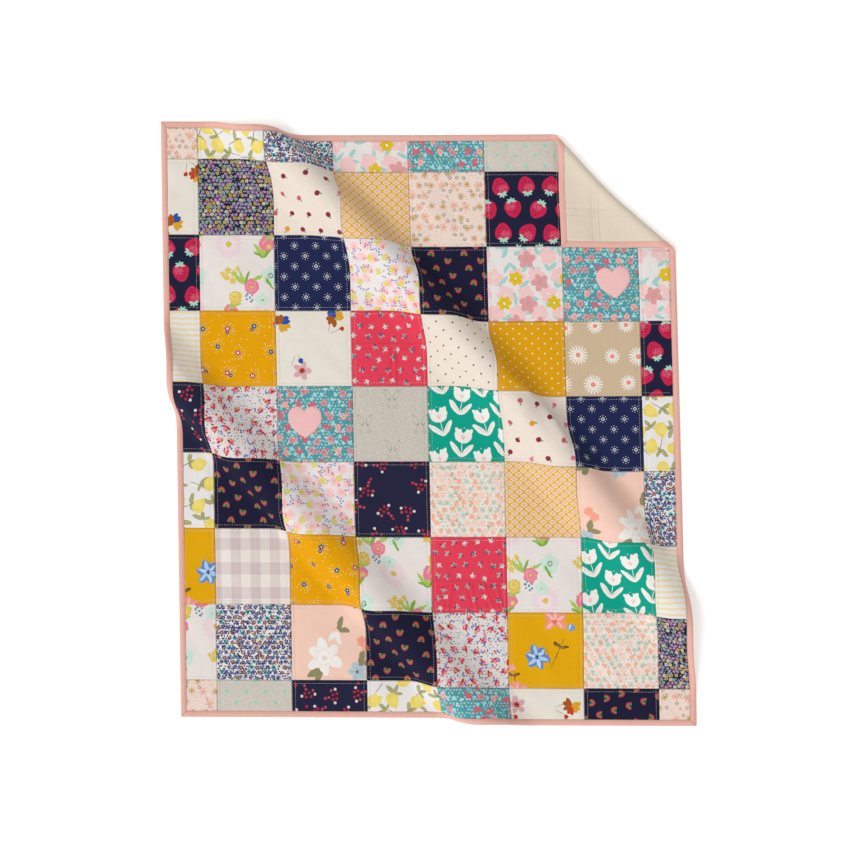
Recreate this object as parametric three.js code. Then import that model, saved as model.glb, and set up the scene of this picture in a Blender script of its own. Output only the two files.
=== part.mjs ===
// A patchwork baby quilt, lying open with two soft ridges across it and one corner
// turned down. Millimetres, +Z up. X runs across the quilt and Y along it. The origin
// is at the middle of its footprint, on the surface that it lies on.
//
// Every piece is first laid out on the flat cloth, as (u, v) measured from the middle
// of the quilt and a height off the middle of its thickness. settle() then turns the
// corner down, pushes up the ridges and gives the place of that point in space.

import * as THREE from 'three';

// ---- Driving dimensions ---------------------------------------------------------

const PATCH = 127;
const FULL_COLUMNS = 6;
const FULL_ROWS = 7;
const PART_PATCH = 52;
const BINDING_WIDTH = 11;
const WIDTH = FULL_COLUMNS * PATCH + 2 * (PART_PATCH + BINDING_WIDTH);
const LENGTH = FULL_ROWS * PATCH + 2 * (PART_PATCH + BINDING_WIDTH);

// Heights off the middle of the quilt: full, and pressed flat inside the binding.
const TOP_CLOTH = { lower: 0.15, upper: 1.75, pressedLower: 0.15, pressedUpper: 0.9 };
const BACK_CLOTH = { lower: -1.9, upper: -0.15, pressedLower: -0.8, pressedUpper: -0.15 };

// Distances in from the quilt's edge.
const CLOTH_EDGE = 1.5;
const PRESSED_TO = 11.3;
const FULL_FROM = 12.6;
const MITRE_SETBACK = 0.22;

// The binding's section, from its upper hem over the edge to its lower hem: how far in
// from the edge and how high its inner and outer faces are.
const BINDING_SECTION = [
  { innerIn: 11, innerHeight: 1.25, outerIn: 11, outerHeight: 2.1 },
  { innerIn: 1.1, innerHeight: 1.25, outerIn: 1.4, outerHeight: 2.3 },
  { innerIn: 1.1, innerHeight: 0.6, outerIn: 0, outerHeight: 1.2 },
  { innerIn: 1.1, innerHeight: -0.5, outerIn: 0, outerHeight: -1.0 },
  { innerIn: 1.1, innerHeight: -1.15, outerIn: 0.9, outerHeight: -1.9 },
  { innerIn: 11, innerHeight: -1.15, outerIn: 11, outerHeight: -1.9 },
];

// The cloth as it lies. Quilting draws it in across its width, and it lies a little
// out of square.
const DRAWN_IN = 0.988;
const LEAN = -0.015;
const TURN = -0.004;

// Ridges: the crest's two ends on the flat cloth, its bow to one side, the height at
// each end, and how much cloth rises to the crest and falls away beyond it.
const RIDGES = [
  {
    fromU: -275, fromV: 507, toU: 450, toV: -350, bow: 32,
    fromHeight: 43, toHeight: 36, rise: 85, fall: 74,
  },
  {
    fromU: -445, fromV: 75, toU: 75, toV: -507, bow: 0,
    fromHeight: 36, toHeight: 31, rise: 64, fall: 85,
  },
];
const RIDGE_STEP = 13.5;
const SLOPE_SAMPLES = 24;

// The turned-down corner: from the corner to the outside of the bend, the bend's
// radius, how far past a half turn it goes, and how high the flap ends up. The middle
// of the fold is drawn in by its bow, which fades out over the cloth before it.
const CORNER_REACH = 142;
const BEND_RADIUS = 8.5;
const OVERTURN = THREE.MathUtils.degToRad(30);
const FLAP_HEIGHT = 6.5;
const FOLD_BOW = 6;
const BOW_FADE = 100;
const BEND_STEPS = 9;
const EASE_STEPS = 4;

// The net of each cloth starts as this many panels each way, before the folds cut it.
const PANELS = 5;

// Heart appliques, on the flat cloth.
const HEARTS = [
  { name: 'heart_upper', u: 339, v: 256, turn: 6 },
  { name: 'heart_lower', u: -208, v: 3, turn: 0 },
];
const HEART_WIDTH = 57;
const HEART_HEIGHT = 54;
const HEART_THICKNESS = 1;
const LAYER_GAP = 0.3;

// ---- How the cloth lies ----------------------------------------------------------

const bendStart = (WIDTH + LENGTH) / 2 / Math.SQRT2 - CORNER_REACH - BEND_RADIUS;
const bendLength = BEND_RADIUS * (Math.PI + OVERTURN);
const easeRadius = (BEND_RADIUS * (1 + Math.cos(OVERTURN)) - FLAP_HEIGHT) / (1 - Math.cos(OVERTURN));
const easeLength = easeRadius * OVERTURN;

// Even steps from one place to another, both ends included.
function evenSteps(from, to, steps) {
  return Array.from({ length: steps + 1 }, (_, i) => THREE.MathUtils.lerp(from, to, i / steps));
}

const bendLevels = [
  ...evenSteps(0, bendLength, BEND_STEPS),
  ...evenSteps(bendLength, bendLength + easeLength, EASE_STEPS).slice(1),
];

function ridgeLevels({ rise, fall }) {
  const rising = evenSteps(-rise, 0, Math.round(rise / RIDGE_STEP));
  const falling = evenSteps(0, fall, Math.round(fall / RIDGE_STEP));
  return [...rising, ...falling.slice(1)];
}

// A curved section as straight facets between its levels, so that every piece follows
// the same facets wherever its own points fall.
function faceted(section, levels, place) {
  const next = levels.findIndex((level) => level > place);
  if (next < 1) {
    return section(place);
  }
  const share = (place - levels[next - 1]) / (levels[next] - levels[next - 1]);
  return section(levels[next - 1]).lerp(section(levels[next]), share);
}

// How far a point lies past the start of the bend, square to the fold.
function pastBend(u, v) {
  return (u + v) / Math.SQRT2 - bendStart;
}

// The bend's section: how far out and how high the cloth is, past its start.
function bendSection(past) {
  const angle = THREE.MathUtils.clamp(past, 0, bendLength) / BEND_RADIUS;
  const easing = OVERTURN - THREE.MathUtils.clamp(past - bendLength, 0, easeLength) / easeRadius;
  const beyond = Math.max(past - bendLength - easeLength, 0);
  const eased = easeRadius * (Math.sin(OVERTURN) - Math.sin(easing));
  const lowered = easeRadius * (Math.cos(easing) - Math.cos(OVERTURN));
  return new THREE.Vector2(
    BEND_RADIUS * Math.sin(angle) - eased - beyond,
    BEND_RADIUS * (1 - Math.cos(angle)) - lowered,
  );
}

// How far the fold is drawn in at a point: most at its middle, and nothing at its ends
// or at the flap's tip.
function drawnInAtFold(u, v, past) {
  const fromMiddle = (v - u - (LENGTH - WIDTH) / 2) / Math.SQRT2;
  const along = Math.max(1 - (fromMiddle / CORNER_REACH) ** 2, 0);
  const before = THREE.MathUtils.smoothstep(past, -BOW_FADE, 0);
  const onFlap = THREE.MathUtils.smoothstep(past, bendLength, CORNER_REACH + BEND_RADIUS);
  return FOLD_BOW * along ** 2 * before * (1 - onFlap);
}

// The flat cloth with its corner turned down.
function turnCorner(u, v) {
  const past = pastBend(u, v);
  const section = past > 0 ? faceted(bendSection, bendLevels, past) : new THREE.Vector2(past, 0);
  const shift = (section.x - past - drawnInAtFold(u, v, past)) / Math.SQRT2;
  return new THREE.Vector3(u + shift, v + shift, section.y);
}

// Where a point of the cloth lies against a ridge: across its crest, and along it.
function againstRidge(ridge, x, y) {
  const length = Math.hypot(ridge.toU - ridge.fromU, ridge.toV - ridge.fromV);
  const alongX = (ridge.toU - ridge.fromU) / length;
  const alongY = (ridge.toV - ridge.fromV) / length;
  const dx = x - ridge.fromU;
  const dy = y - ridge.fromV;
  const along = THREE.MathUtils.clamp((dx * alongX + dy * alongY) / length, 0, 1);
  const across = dy * alongX - dx * alongY - ridge.bow * 4 * along * (1 - along);
  return { across, along, acrossX: -alongY, acrossY: alongX };
}

// One side of a ridge, a share of the way over it: how much shorter its plan is than
// the cloth in it, and its height.
function ridgeSide(share, height, cloth) {
  const reached = THREE.MathUtils.clamp(share, 0, 1);
  let saved = 0;
  for (let i = 0; i < SLOPE_SAMPLES; i += 1) {
    const place = ((i + 0.5) / SLOPE_SAMPLES) * reached;
    const slope = (Math.PI / 2) * (height / cloth) * Math.sin(Math.PI * place);
    saved += (1 - Math.sqrt(1 - slope * slope)) / SLOPE_SAMPLES;
  }
  return new THREE.Vector2(
    saved * reached * cloth,
    height * (0.5 - 0.5 * Math.cos(Math.PI * reached)),
  );
}

// A ridge's section: the plan taken up so far, and the height.
function ridgeSection({ rise, fall }, height, across) {
  const up = ridgeSide((across + rise) / rise, height, rise);
  const down = ridgeSide(across / fall, height, fall);
  return new THREE.Vector2(up.x + down.x, up.y - down.y);
}

// The middle of the cloth's thickness as it lies.
function middleOfCloth(u, v) {
  const turned = turnCorner(u, v);
  const place = turned.clone();
  for (const ridge of RIDGES) {
    const at = againstRidge(ridge, turned.x, turned.y);
    const height = THREE.MathUtils.lerp(ridge.fromHeight, ridge.toHeight, at.along);
    const sectionAt = (across) => ridgeSection(ridge, height, across);
    const section = faceted(sectionAt, ridgeLevels(ridge), at.across);
    place.x -= section.x * at.acrossX;
    place.y -= section.x * at.acrossY;
    place.z += section.y;
  }
  place.x = DRAWN_IN * place.x + LEAN * place.y;
  place.y += TURN * place.x;
  return place;
}

// A point at a height off the middle of the cloth.
function settle(u, v, height) {
  const reach = 0.5;
  const alongU = middleOfCloth(u + reach, v).sub(middleOfCloth(u - reach, v));
  const alongV = middleOfCloth(u, v + reach).sub(middleOfCloth(u, v - reach));
  const normal = alongU.cross(alongV).normalize();
  return middleOfCloth(u, v).addScaledVector(normal, height);
}

// ---- Cloth as a closed shell ------------------------------------------------------
// A sheet is a net of triangles. Each point holds its place on both faces of the cloth:
// [inner u, inner v, inner height, outer u, outer v, outer height].

const middleU = (point) => (point[0] + point[3]) / 2;
const middleV = (point) => (point[1] + point[4]) / 2;

// A net from rows of points. Its faces are loops of points until the last cut is made.
function netFromRows(rows) {
  const across = rows[0].length;
  const points = rows.flat();
  const faces = [];
  for (let row = 0; row + 1 < rows.length; row += 1) {
    for (let column = 0; column + 1 < across; column += 1) {
      const corner = row * across + column;
      faces.push([corner, corner + 1, corner + across + 1, corner + across]);
    }
  }
  return { points, faces };
}

// The parts of one face on the two sides of a cut.
function splitFace(face, sides, cutPoint) {
  const crossed = face.some((point) => sides[point] < 0) && face.some((point) => sides[point] > 0);
  if (!crossed) {
    return [face];
  }
  const before = [];
  const beyond = [];
  face.forEach((point, i) => {
    const next = face[(i + 1) % face.length];
    if (sides[point] <= 0) {
      before.push(point);
    }
    if (sides[point] >= 0) {
      beyond.push(point);
    }
    if (sides[point] * sides[next] < 0) {
      const cut = cutPoint(point, next);
      before.push(cut);
      beyond.push(cut);
    }
  });
  return [before, beyond];
}

// Adds an edge to the net wherever a measure over the cloth passes a level.
function cutNet(net, measure, level) {
  const snap = 0.2;
  const offsets = net.points.map((point) => measure(middleU(point), middleV(point)) - level);
  const sides = offsets.map((offset) => (Math.abs(offset) < snap ? 0 : Math.sign(offset)));
  const made = new Map();
  const cutPoint = (a, b) => {
    const [first, second] = a < b ? [a, b] : [b, a];
    const key = `${first} ${second}`;
    if (!made.has(key)) {
      const share = offsets[first] / (offsets[first] - offsets[second]);
      const from = net.points[first];
      const to = net.points[second];
      made.set(key, net.points.length);
      net.points.push(from.map((value, i) => THREE.MathUtils.lerp(value, to[i], share)));
    }
    return made.get(key);
  };
  net.faces = net.faces.flatMap((face) => splitFace(face, sides, cutPoint));
}

// Cuts a net along each ridge and along the bend of the corner.
function cutAtFolds(net) {
  for (const ridge of RIDGES) {
    const across = (u, v) => againstRidge(ridge, u, v).across;
    ridgeLevels(ridge).forEach((level) => cutNet(net, across, level));
  }
  bendLevels.forEach((level) => cutNet(net, pastBend, level));
}

// The closed shell between the two faces of a net, as the cloth lies.
function shellGeometry(net) {
  const { points } = net;
  const triangles = net.faces.flatMap(([first, ...rest]) => (
    rest.slice(1).map((point, i) => [first, rest[i], point])
  ));
  const inner = points.map((point) => settle(point[0], point[1], point[2]));
  const outer = points.map((point) => settle(point[3], point[4], point[5]));
  const faces = [];
  const directed = new Set();
  for (const [a, b, c] of triangles) {
    faces.push([outer[a], outer[b], outer[c]], [inner[a], inner[c], inner[b]]);
    directed.add(`${a} ${b}`).add(`${b} ${c}`).add(`${c} ${a}`);
  }
  for (const edge of directed) {
    const [a, b] = edge.split(' ').map(Number);
    if (!directed.has(`${b} ${a}`)) {
      faces.push([outer[b], outer[a], inner[a]], [outer[b], inner[a], inner[b]]);
    }
  }
  return new THREE.BufferGeometry().setFromPoints(faces.flat());
}

// ---- Pieces -----------------------------------------------------------------------

// Even stations inside the quilt's edges.
function innerStations(size) {
  return evenSteps(-size / 2, size / 2, PANELS).slice(1, -1);
}

// Stations across a cloth, from edge to edge.
function clothStations(size) {
  const outerStations = [CLOTH_EDGE, PRESSED_TO, FULL_FROM].map((inset) => size / 2 - inset);
  const lower = outerStations.map((station) => -station);
  return [...lower, ...innerStations(size), ...outerStations.reverse()];
}

function clothHeights(cloth, u, v) {
  const inset = Math.min(WIDTH / 2 - Math.abs(u), LENGTH / 2 - Math.abs(v));
  const pressed = inset < (PRESSED_TO + FULL_FROM) / 2;
  return pressed ? [cloth.pressedLower, cloth.pressedUpper] : [cloth.lower, cloth.upper];
}

function clothGeometry(cloth) {
  const rows = clothStations(LENGTH).map((v) => (
    clothStations(WIDTH).map((u) => {
      const [lower, upper] = clothHeights(cloth, u, v);
      return [u, v, lower, u, v, upper];
    })
  ));
  const net = netFromRows(rows);
  cutAtFolds(net);
  return shellGeometry(net);
}

const EDGES = [
  { name: 'binding_top', outU: 0, outV: 1, reach: LENGTH / 2, run: WIDTH / 2 },
  { name: 'binding_right', outU: 1, outV: 0, reach: WIDTH / 2, run: LENGTH / 2 },
  { name: 'binding_bottom', outU: 0, outV: -1, reach: LENGTH / 2, run: WIDTH / 2 },
  { name: 'binding_left', outU: -1, outV: 0, reach: WIDTH / 2, run: LENGTH / 2 },
];

function bindingGeometry(edge) {
  // The strip runs clockwise round the quilt, and both its ends are mitred.
  const place = (along, inset) => {
    const limit = edge.run - inset - MITRE_SETBACK;
    const clipped = THREE.MathUtils.clamp(along, -limit, limit);
    const out = edge.reach - inset;
    return [edge.outU * out + edge.outV * clipped, edge.outV * out - edge.outU * clipped];
  };
  const stations = [-edge.run, ...innerStations(2 * edge.run), edge.run];
  const rows = BINDING_SECTION.map((at) => stations.map((along) => [
    ...place(along, at.innerIn), at.innerHeight,
    ...place(along, at.outerIn), at.outerHeight,
  ]));
  const net = netFromRows(rows);
  cutAtFolds(net);
  return shellGeometry(net);
}

// A heart standing on its point, centred on the origin.
function heartShape() {
  const half = HEART_WIDTH / 2;
  const bottom = -HEART_HEIGHT / 2;
  const top = HEART_HEIGHT / 2;
  const shoulder = top - half * 0.62;
  const notch = top - HEART_HEIGHT * 0.16;
  const heart = new THREE.Shape();
  heart.moveTo(0, bottom);
  heart.bezierCurveTo(half * 0.43, bottom + 8, half, shoulder - 18, half, shoulder);
  heart.bezierCurveTo(half, top + 2, half * 0.18, top + 4, 0, notch);
  heart.bezierCurveTo(-half * 0.18, top + 4, -half, top + 2, -half, shoulder);
  heart.bezierCurveTo(-half, shoulder - 18, -half * 0.43, bottom + 8, 0, bottom);
  return heart;
}

function heartGeometry() {
  return new THREE.ExtrudeGeometry(heartShape(), {
    depth: HEART_THICKNESS,
    bevelEnabled: false,
    curveSegments: 10,
  });
}

function fabric(color) {
  return new THREE.MeshStandardMaterial({ color, roughness: 0.9, metalness: 0 });
}

function piece(name, geometry, color) {
  const mesh = new THREE.Mesh(geometry, fabric(color));
  mesh.name = name;
  return mesh;
}

function buildQuilt() {
  const quilt = new THREE.Group();
  quilt.add(piece('patchwork_top', clothGeometry(TOP_CLOTH), '#e9e1d5'));
  quilt.add(piece('quilt_backing', clothGeometry(BACK_CLOTH), '#e3d8c6'));
  for (const edge of EDGES) {
    quilt.add(piece(edge.name, bindingGeometry(edge), '#e5b3a8'));
  }
  for (const { name, u, v, turn } of HEARTS) {
    const heart = piece(name, heartGeometry(), '#edbfbe');
    heart.position.copy(settle(u, v, TOP_CLOTH.upper + LAYER_GAP));
    heart.rotation.z = THREE.MathUtils.degToRad(turn);
    quilt.add(heart);
  }
  return quilt;
}

const quilt = buildQuilt();
const extent = new THREE.Box3().setFromObject(quilt);
const middle = extent.getCenter(new THREE.Vector3());
quilt.position.set(-middle.x, -middle.y, -extent.min.z);

export default quilt;
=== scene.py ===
import math

import bmesh
import bpy
import numpy as np
from bpy.props import FloatProperty, FloatVectorProperty, IntProperty, PointerProperty
from bpy.types import Operator, Panel, PropertyGroup
from mathutils import Matrix, Vector


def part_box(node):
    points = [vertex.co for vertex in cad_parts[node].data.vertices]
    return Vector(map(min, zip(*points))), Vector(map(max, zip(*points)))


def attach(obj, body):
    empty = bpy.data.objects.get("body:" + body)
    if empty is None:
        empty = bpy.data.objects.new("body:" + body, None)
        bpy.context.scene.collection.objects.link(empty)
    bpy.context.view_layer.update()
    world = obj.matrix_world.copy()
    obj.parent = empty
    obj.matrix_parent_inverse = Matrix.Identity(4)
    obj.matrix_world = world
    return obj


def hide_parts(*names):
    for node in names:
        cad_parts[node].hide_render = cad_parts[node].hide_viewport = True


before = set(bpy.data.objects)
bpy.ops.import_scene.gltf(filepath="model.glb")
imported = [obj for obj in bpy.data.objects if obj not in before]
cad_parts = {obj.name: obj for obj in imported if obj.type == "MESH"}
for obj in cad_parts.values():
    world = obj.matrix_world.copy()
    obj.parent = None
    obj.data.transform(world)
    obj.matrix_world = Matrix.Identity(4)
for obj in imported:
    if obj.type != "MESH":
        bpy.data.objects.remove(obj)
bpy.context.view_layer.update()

bl_info = {
    "name": "Patchwork Quilt",
    "version": (1, 0, 0),
    "blender": (4, 5, 0),
    "location": "View3D > Sidebar > Quilt",
    "description": "Lays out a pieced, stitched and bound baby quilt",
    "category": "Add Mesh",
}

MM = 0.001


# ---- Colours -----------------------------------------------------------------------

def linear(hex_colour):
    """An sRGB hex colour as linear red, green, blue and alpha."""
    channels = [int(hex_colour[i:i + 2], 16) / 255 for i in (0, 2, 4)]
    return [c / 12.92 if c <= 0.04045 else ((c + 0.055) / 1.055) ** 2.4 for c in channels] + [1.0]


def colour_property(name, description, hex_colour):
    return FloatVectorProperty(
        name=name, description=description, subtype="COLOR", size=4,
        min=0.0, max=1.0, default=linear(hex_colour),
    )


def length_property(name, description, millimetres):
    return FloatProperty(
        name=name, description=description, unit="LENGTH", default=millimetres * MM,
    )


# ---- What a user would change ------------------------------------------------------

class QuiltSizes(PropertyGroup):
    """Sizes of the quilt's pieces."""

    patch: length_property("Square", "Side of a full square, from seam to seam", 127)
    part_patch: length_property("Edge square", "What shows of the cut squares at the edges", 52)
    binding: length_property("Binding", "Width of the binding on each face", 11)
    columns: IntProperty(name="Columns", description="Full squares across", default=6)
    rows: IntProperty(name="Rows", description="Full squares along", default=7)
    stitch_inset: length_property("Stitch inset", "From a seam to its line of stitches", 5.5)
    stitch_pitch: length_property("Stitch pitch", "From one stitch to the next", 4.2)
    stitch_length: length_property("Stitch length", "What shows of one stitch", 3.0)
    thread: length_property("Thread", "Width of a stitch", 0.52)


class QuiltColours(PropertyGroup):
    """Colours of the plain cloths and the thread."""

    backing: colour_property("Backing", "Plain cotton on the underside", "DFD1BE")
    binding: colour_property("Binding", "Folded cotton round the edge", "E6B2A5")
    heart: colour_property("Hearts", "Cotton of the two hearts", "EFBFBD")
    thread: colour_property("Thread", "Cotton of the quilting stitches", "EADFD8")
    floor: colour_property("Floor", "Plain surface under the quilt", "FFFFFF")


class QuiltStage(PropertyGroup):
    """Camera and light."""

    lens: FloatProperty(name="Lens", description="Focal length in mm", default=85.0)
    view_width: length_property("View width", "What the picture takes in, at the floor", 1424)
    aim_x: length_property("Aim across", "Middle of the picture, across", -6)
    aim_y: length_property("Aim along", "Middle of the picture, along", -2)
    key: FloatProperty(name="Key light", description="Strength of the side light", default=1.75)
    fill: FloatProperty(name="Fill light", description="Strength of the light all round", default=0.62)
    glow: FloatProperty(name="Floor glow", description="Light from under the white paper", default=0.25)


def sizes():
    return bpy.context.scene.quilt_sizes


def colours():
    return bpy.context.scene.quilt_colours


def half_width():
    s = sizes()
    return s.columns * s.patch / 2 + s.part_patch + s.binding


def half_length():
    s = sizes()
    return s.rows * s.patch / 2 + s.part_patch + s.binding


# ---- How the cloth lies ------------------------------------------------------------
# Every piece is laid out flat, as u across the quilt, v along it and a height off the
# middle of its thickness, all in metres. lay() gives its place on the folded cloth.

DRAWN_IN = 0.988
LEAN = -0.015
TURN = -0.004

# Crests of the two ridges, on the flat cloth, in mm.
RIDGES = (
    dict(start=(-275, 507), end=(450, -350), bow=32, heights=(43, 36), rise=85, fall=74),
    dict(start=(-445, 75), end=(75, -507), bow=0, heights=(36, 31), rise=64, fall=85),
)
SLOPE_SAMPLES = 24

# The turned-down corner, in mm and degrees.
CORNER_REACH = 142
BEND_RADIUS = 8.5
OVERTURN = math.radians(30)
FLAP_HEIGHT = 6.5
FOLD_BOW = 6
BOW_FADE = 100
# Where, past the start of the bend, the cloth begins to lie as flap and where it fully does.
FLAP_START = 20
FLAP_FULL = 45

# Small soft creases on the laid cloth: ends on the flat cloth, height and width to each
# side, in mm.
CREASES = (
    dict(start=(130, 98), end=(200, 50), height=4.0, width=15),
    dict(start=(192, 62), end=(244, -34), height=5.0, width=16),
    dict(start=(146, 34), end=(190, 0), height=3.4, width=12),
    dict(start=(-240, 430), end=(-150, 250), height=4.0, width=46),
    dict(start=(300, 20), end=(420, -110), height=3.5, width=50),
    dict(start=(-420, -120), end=(-330, -260), height=3.0, width=44),
    dict(start=(-60, -60), end=(90, -230), height=3.0, width=60),
    dict(start=(180, -260), end=(330, -420), height=3.5, width=56),
    dict(start=(-350, 330), end=(-250, 130), height=3.0, width=60),
    dict(start=(20, 430), end=(60, 330), height=2.5, width=40),
)

# Heights off the middle of the cloth: the backing's lower and upper face, and the pieced
# top's underside, its lowest face and its usual one.
BOTTOM = -1.9 * MM
BACKING_UPPER = -0.15 * MM
TOP_UNDERSIDE = 0.15 * MM
LEAST_TOP = 0.4 * MM
TOP = 1.75 * MM
# The solids of the backing and the top end this far inside the binding's edge.
EDGE_GAP = 1.5 * MM
EDGE_SAMPLES = 200


def smooth_step(value, low, high):
    share = np.clip((value - low) / (high - low), 0, 1)
    return share * share * (3 - 2 * share)


def past_bend(u, v):
    """How far a point lies past the start of the bend, square to the fold."""
    from_corner = (u + v - half_width() - half_length()) / math.sqrt(2)
    return from_corner + (CORNER_REACH + BEND_RADIUS) * MM


def on_flap(u, v):
    """How far a point is on the turned-down flap: nothing before the bend, and then all."""
    return smooth_step(past_bend(u, v), FLAP_START * MM, FLAP_FULL * MM)


def drawn_in_at_fold(u, v, past, bend):
    """How far the fold is drawn in: most at its middle, nothing at its ends or the flap's tip."""
    from_middle = (v - u - half_length() + half_width()) / math.sqrt(2)
    along = np.maximum(1 - (from_middle / (CORNER_REACH * MM)) ** 2, 0)
    towards_tip = smooth_step(past, bend, (CORNER_REACH + BEND_RADIUS) * MM)
    return FOLD_BOW * MM * along ** 2 * smooth_step(past, -BOW_FADE * MM, 0) * (1 - towards_tip)


def turn_corner(u, v):
    """The flat cloth with its corner turned down."""
    radius = BEND_RADIUS * MM
    overturned = math.cos(OVERTURN)
    ease_radius = (radius * (1 + overturned) - FLAP_HEIGHT * MM) / (1 - overturned)
    bend = radius * (math.pi + OVERTURN)
    ease = ease_radius * OVERTURN
    past = past_bend(u, v)
    angle = np.clip(past, 0, bend) / radius
    easing = OVERTURN - np.clip(past - bend, 0, ease) / ease_radius
    beyond = np.maximum(past - bend - ease, 0)
    eased = ease_radius * (math.sin(OVERTURN) - np.sin(easing))
    lowered = ease_radius * (np.cos(easing) - overturned)
    out = radius * np.sin(angle) - eased - beyond
    shift = (np.where(past > 0, out - past, 0) - drawn_in_at_fold(u, v, past, bend)) / math.sqrt(2)
    return u + shift, v + shift, radius * (1 - np.cos(angle)) - lowered


def ridge_side(share, height, cloth):
    """One side of a ridge, a share of the way over it: plan taken up, and height."""
    reached = np.clip(share, 0, 1)
    places = (np.arange(SLOPE_SAMPLES) + 0.5) / SLOPE_SAMPLES * reached[:, None]
    slopes = (np.pi / 2 * height / cloth)[:, None] * np.sin(np.pi * places)
    taken = (1 - np.sqrt(1 - slopes ** 2)).mean(axis=1) * reached * cloth
    return taken, height * (0.5 - 0.5 * np.cos(np.pi * reached))


def against_line(start, end, x, y):
    """Where points lie against a line: distance across it, share along it, and its normal."""
    start, end = np.array(start) * MM, np.array(end) * MM
    length = np.hypot(*(end - start))
    along_x, along_y = (end - start) / length
    along = ((x - start[0]) * along_x + (y - start[1]) * along_y) / length
    across = (y - start[1]) * along_x - (x - start[0]) * along_y
    return across, along, (-along_y, along_x)


def middle_of_cloth(u, v):
    """The middle of the cloth's thickness as it lies, before it is centred."""
    turned_x, turned_y, z = turn_corner(u, v)
    x, y = turned_x.copy(), turned_y.copy()
    for ridge in RIDGES:
        across, along, normal = against_line(ridge["start"], ridge["end"], turned_x, turned_y)
        along = np.clip(along, 0, 1)
        across = across - ridge["bow"] * MM * 4 * along * (1 - along)
        low, high = ridge["heights"]
        height = (low + (high - low) * along) * MM
        rise, fall = ridge["rise"] * MM, ridge["fall"] * MM
        taken_up, up = ridge_side((across + rise) / rise, height, rise)
        taken_down, down = ridge_side(across / fall, height, fall)
        x -= (taken_up + taken_down) * normal[0]
        y -= (taken_up + taken_down) * normal[1]
        z = z + up - down
    x = DRAWN_IN * x + LEAN * y
    return np.stack([x, y + TURN * x, z], axis=1)


def creased(u, v):
    """Height of the small soft creases."""
    height = np.zeros_like(u)
    for crease in CREASES:
        across, along, _ = against_line(crease["start"], crease["end"], u, v)
        over = np.clip(1 - np.abs(across) / (crease["width"] * MM), 0, 1)
        fade = np.sin(np.pi * np.clip(along, 0, 1))
        height += crease["height"] * MM * fade * over ** 2 * (3 - 2 * over)
    return height


def off_the_cloth(flat):
    """Points at their heights off the middle of the cloth."""
    u, v, height = flat.T
    step = 0.5 * MM
    along_u = middle_of_cloth(u + step, v) - middle_of_cloth(u - step, v)
    along_v = middle_of_cloth(u, v + step) - middle_of_cloth(u, v - step)
    normal = np.cross(along_u, along_v)
    normal /= np.linalg.norm(normal, axis=1)[:, None]
    return middle_of_cloth(u, v) + normal * height[:, None]


def centring():
    """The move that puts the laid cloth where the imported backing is, resting at height 0."""
    u_edge, v_edge = half_width() - EDGE_GAP, half_length() - EDGE_GAP
    edge = np.linspace(-1, 1, EDGE_SAMPLES)
    one = np.ones_like(edge)
    u = np.concatenate([edge, edge, one, -one]) * u_edge
    v = np.concatenate([one, -one, edge, edge]) * v_edge
    outline = off_the_cloth(np.stack([u, v, np.full_like(u, BOTTOM)], axis=1))
    low = np.array(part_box("quilt_backing")[0])
    return np.array([low[0] - outline[:, 0].min(), low[1] - outline[:, 1].min(), -BOTTOM])


def lay(flat):
    """Flat points as they lie, creased and in the frame's place."""
    raised = flat.copy()
    raised[:, 2] += creased(flat[:, 0], flat[:, 1])
    return off_the_cloth(raised) + centring()


# ---- Relief of the quilted cloth ---------------------------------------------------
# All in mm. The cloth is drawn down at its seams and stitches, stands up a little where the
# seam allowance is pressed under it, and swells between.

NOISE_POINTS = 64
SEEDS = dict(top=11, back=31, fans=35, ripples=36, hem_ribs=51, hem_swells=61, heart=71)
SEAM_WIDTH = 1.0
TOP_SEAM_DEPTH = 1.5
ALLOWANCE = dict(height=0.45, place=2.9, width=1.7)
STITCH_TROUGH = dict(depth=0.6, width=1.1)
PUCKERS = dict(height=0.34, length=7, reach=11)
PUFF = dict(height=0.75, reach=26, power=0.6)
SWELLS = (dict(height=0.30, length=19), dict(height=0.55, length=43))
# Long soft undulations that run with the ridges, less near the stitched seams.
UNDULATIONS = dict(height=1.15, across=21, along=85, least=0.3, free=24)
UNDULATION_DIRECTION = (0.76, 0.65)
# Where the cloth goes in under the binding it is pressed flat.
UNDER_BINDING = dict(from_hem=1.2, over=1.4, top=0.85, bottom=-0.8)
# The backing's face: how far it lies over its lowest, how much of the relief shows on it,
# with more of it on the flap, and how far it may go up, and down on the flap.
BACK_RECESS = 0.5
BACK_SHARE = 0.8
FLAP_SHARE = 0.5
BACK_HIGHEST = 1.3
FLAP_LOWEST = -1.2
# Wrinkles of the flap: fans that run away from its fold, and finer ones along the cloth.
FLAP_FANS = dict(height=0.8, across=17, along=75)
FLAP_RIPPLES = dict(height=0.48, across=11, along=48)


def soft_noise(x, y, seed):
    """Smooth noise from -1 to 1, drawn at points one unit apart."""
    lattice = np.random.default_rng(seed).uniform(-1, 1, (NOISE_POINTS, NOISE_POINTS))
    column, row = np.floor(x).astype(int), np.floor(y).astype(int)
    fx, fy = x - column, y - row
    fx, fy = fx * fx * (3 - 2 * fx), fy * fy * (3 - 2 * fy)
    low, high = [
        lattice[(row + up) % NOISE_POINTS, column % NOISE_POINTS] * (1 - fx)
        + lattice[(row + up) % NOISE_POINTS, (column + 1) % NOISE_POINTS] * fx
        for up in (0, 1)
    ]
    return low * (1 - fy) + high * fy


def seam_distance(place, count):
    """Distance to the nearest seam, and which seam it is."""
    patch = sizes().patch
    index = np.clip(np.round(place / patch + count / 2), 0, count)
    return np.abs(place - (index - count / 2) * patch), index


def dip(distance, centre, spread):
    return np.exp(-((distance - centre) / spread) ** 2)


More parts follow.
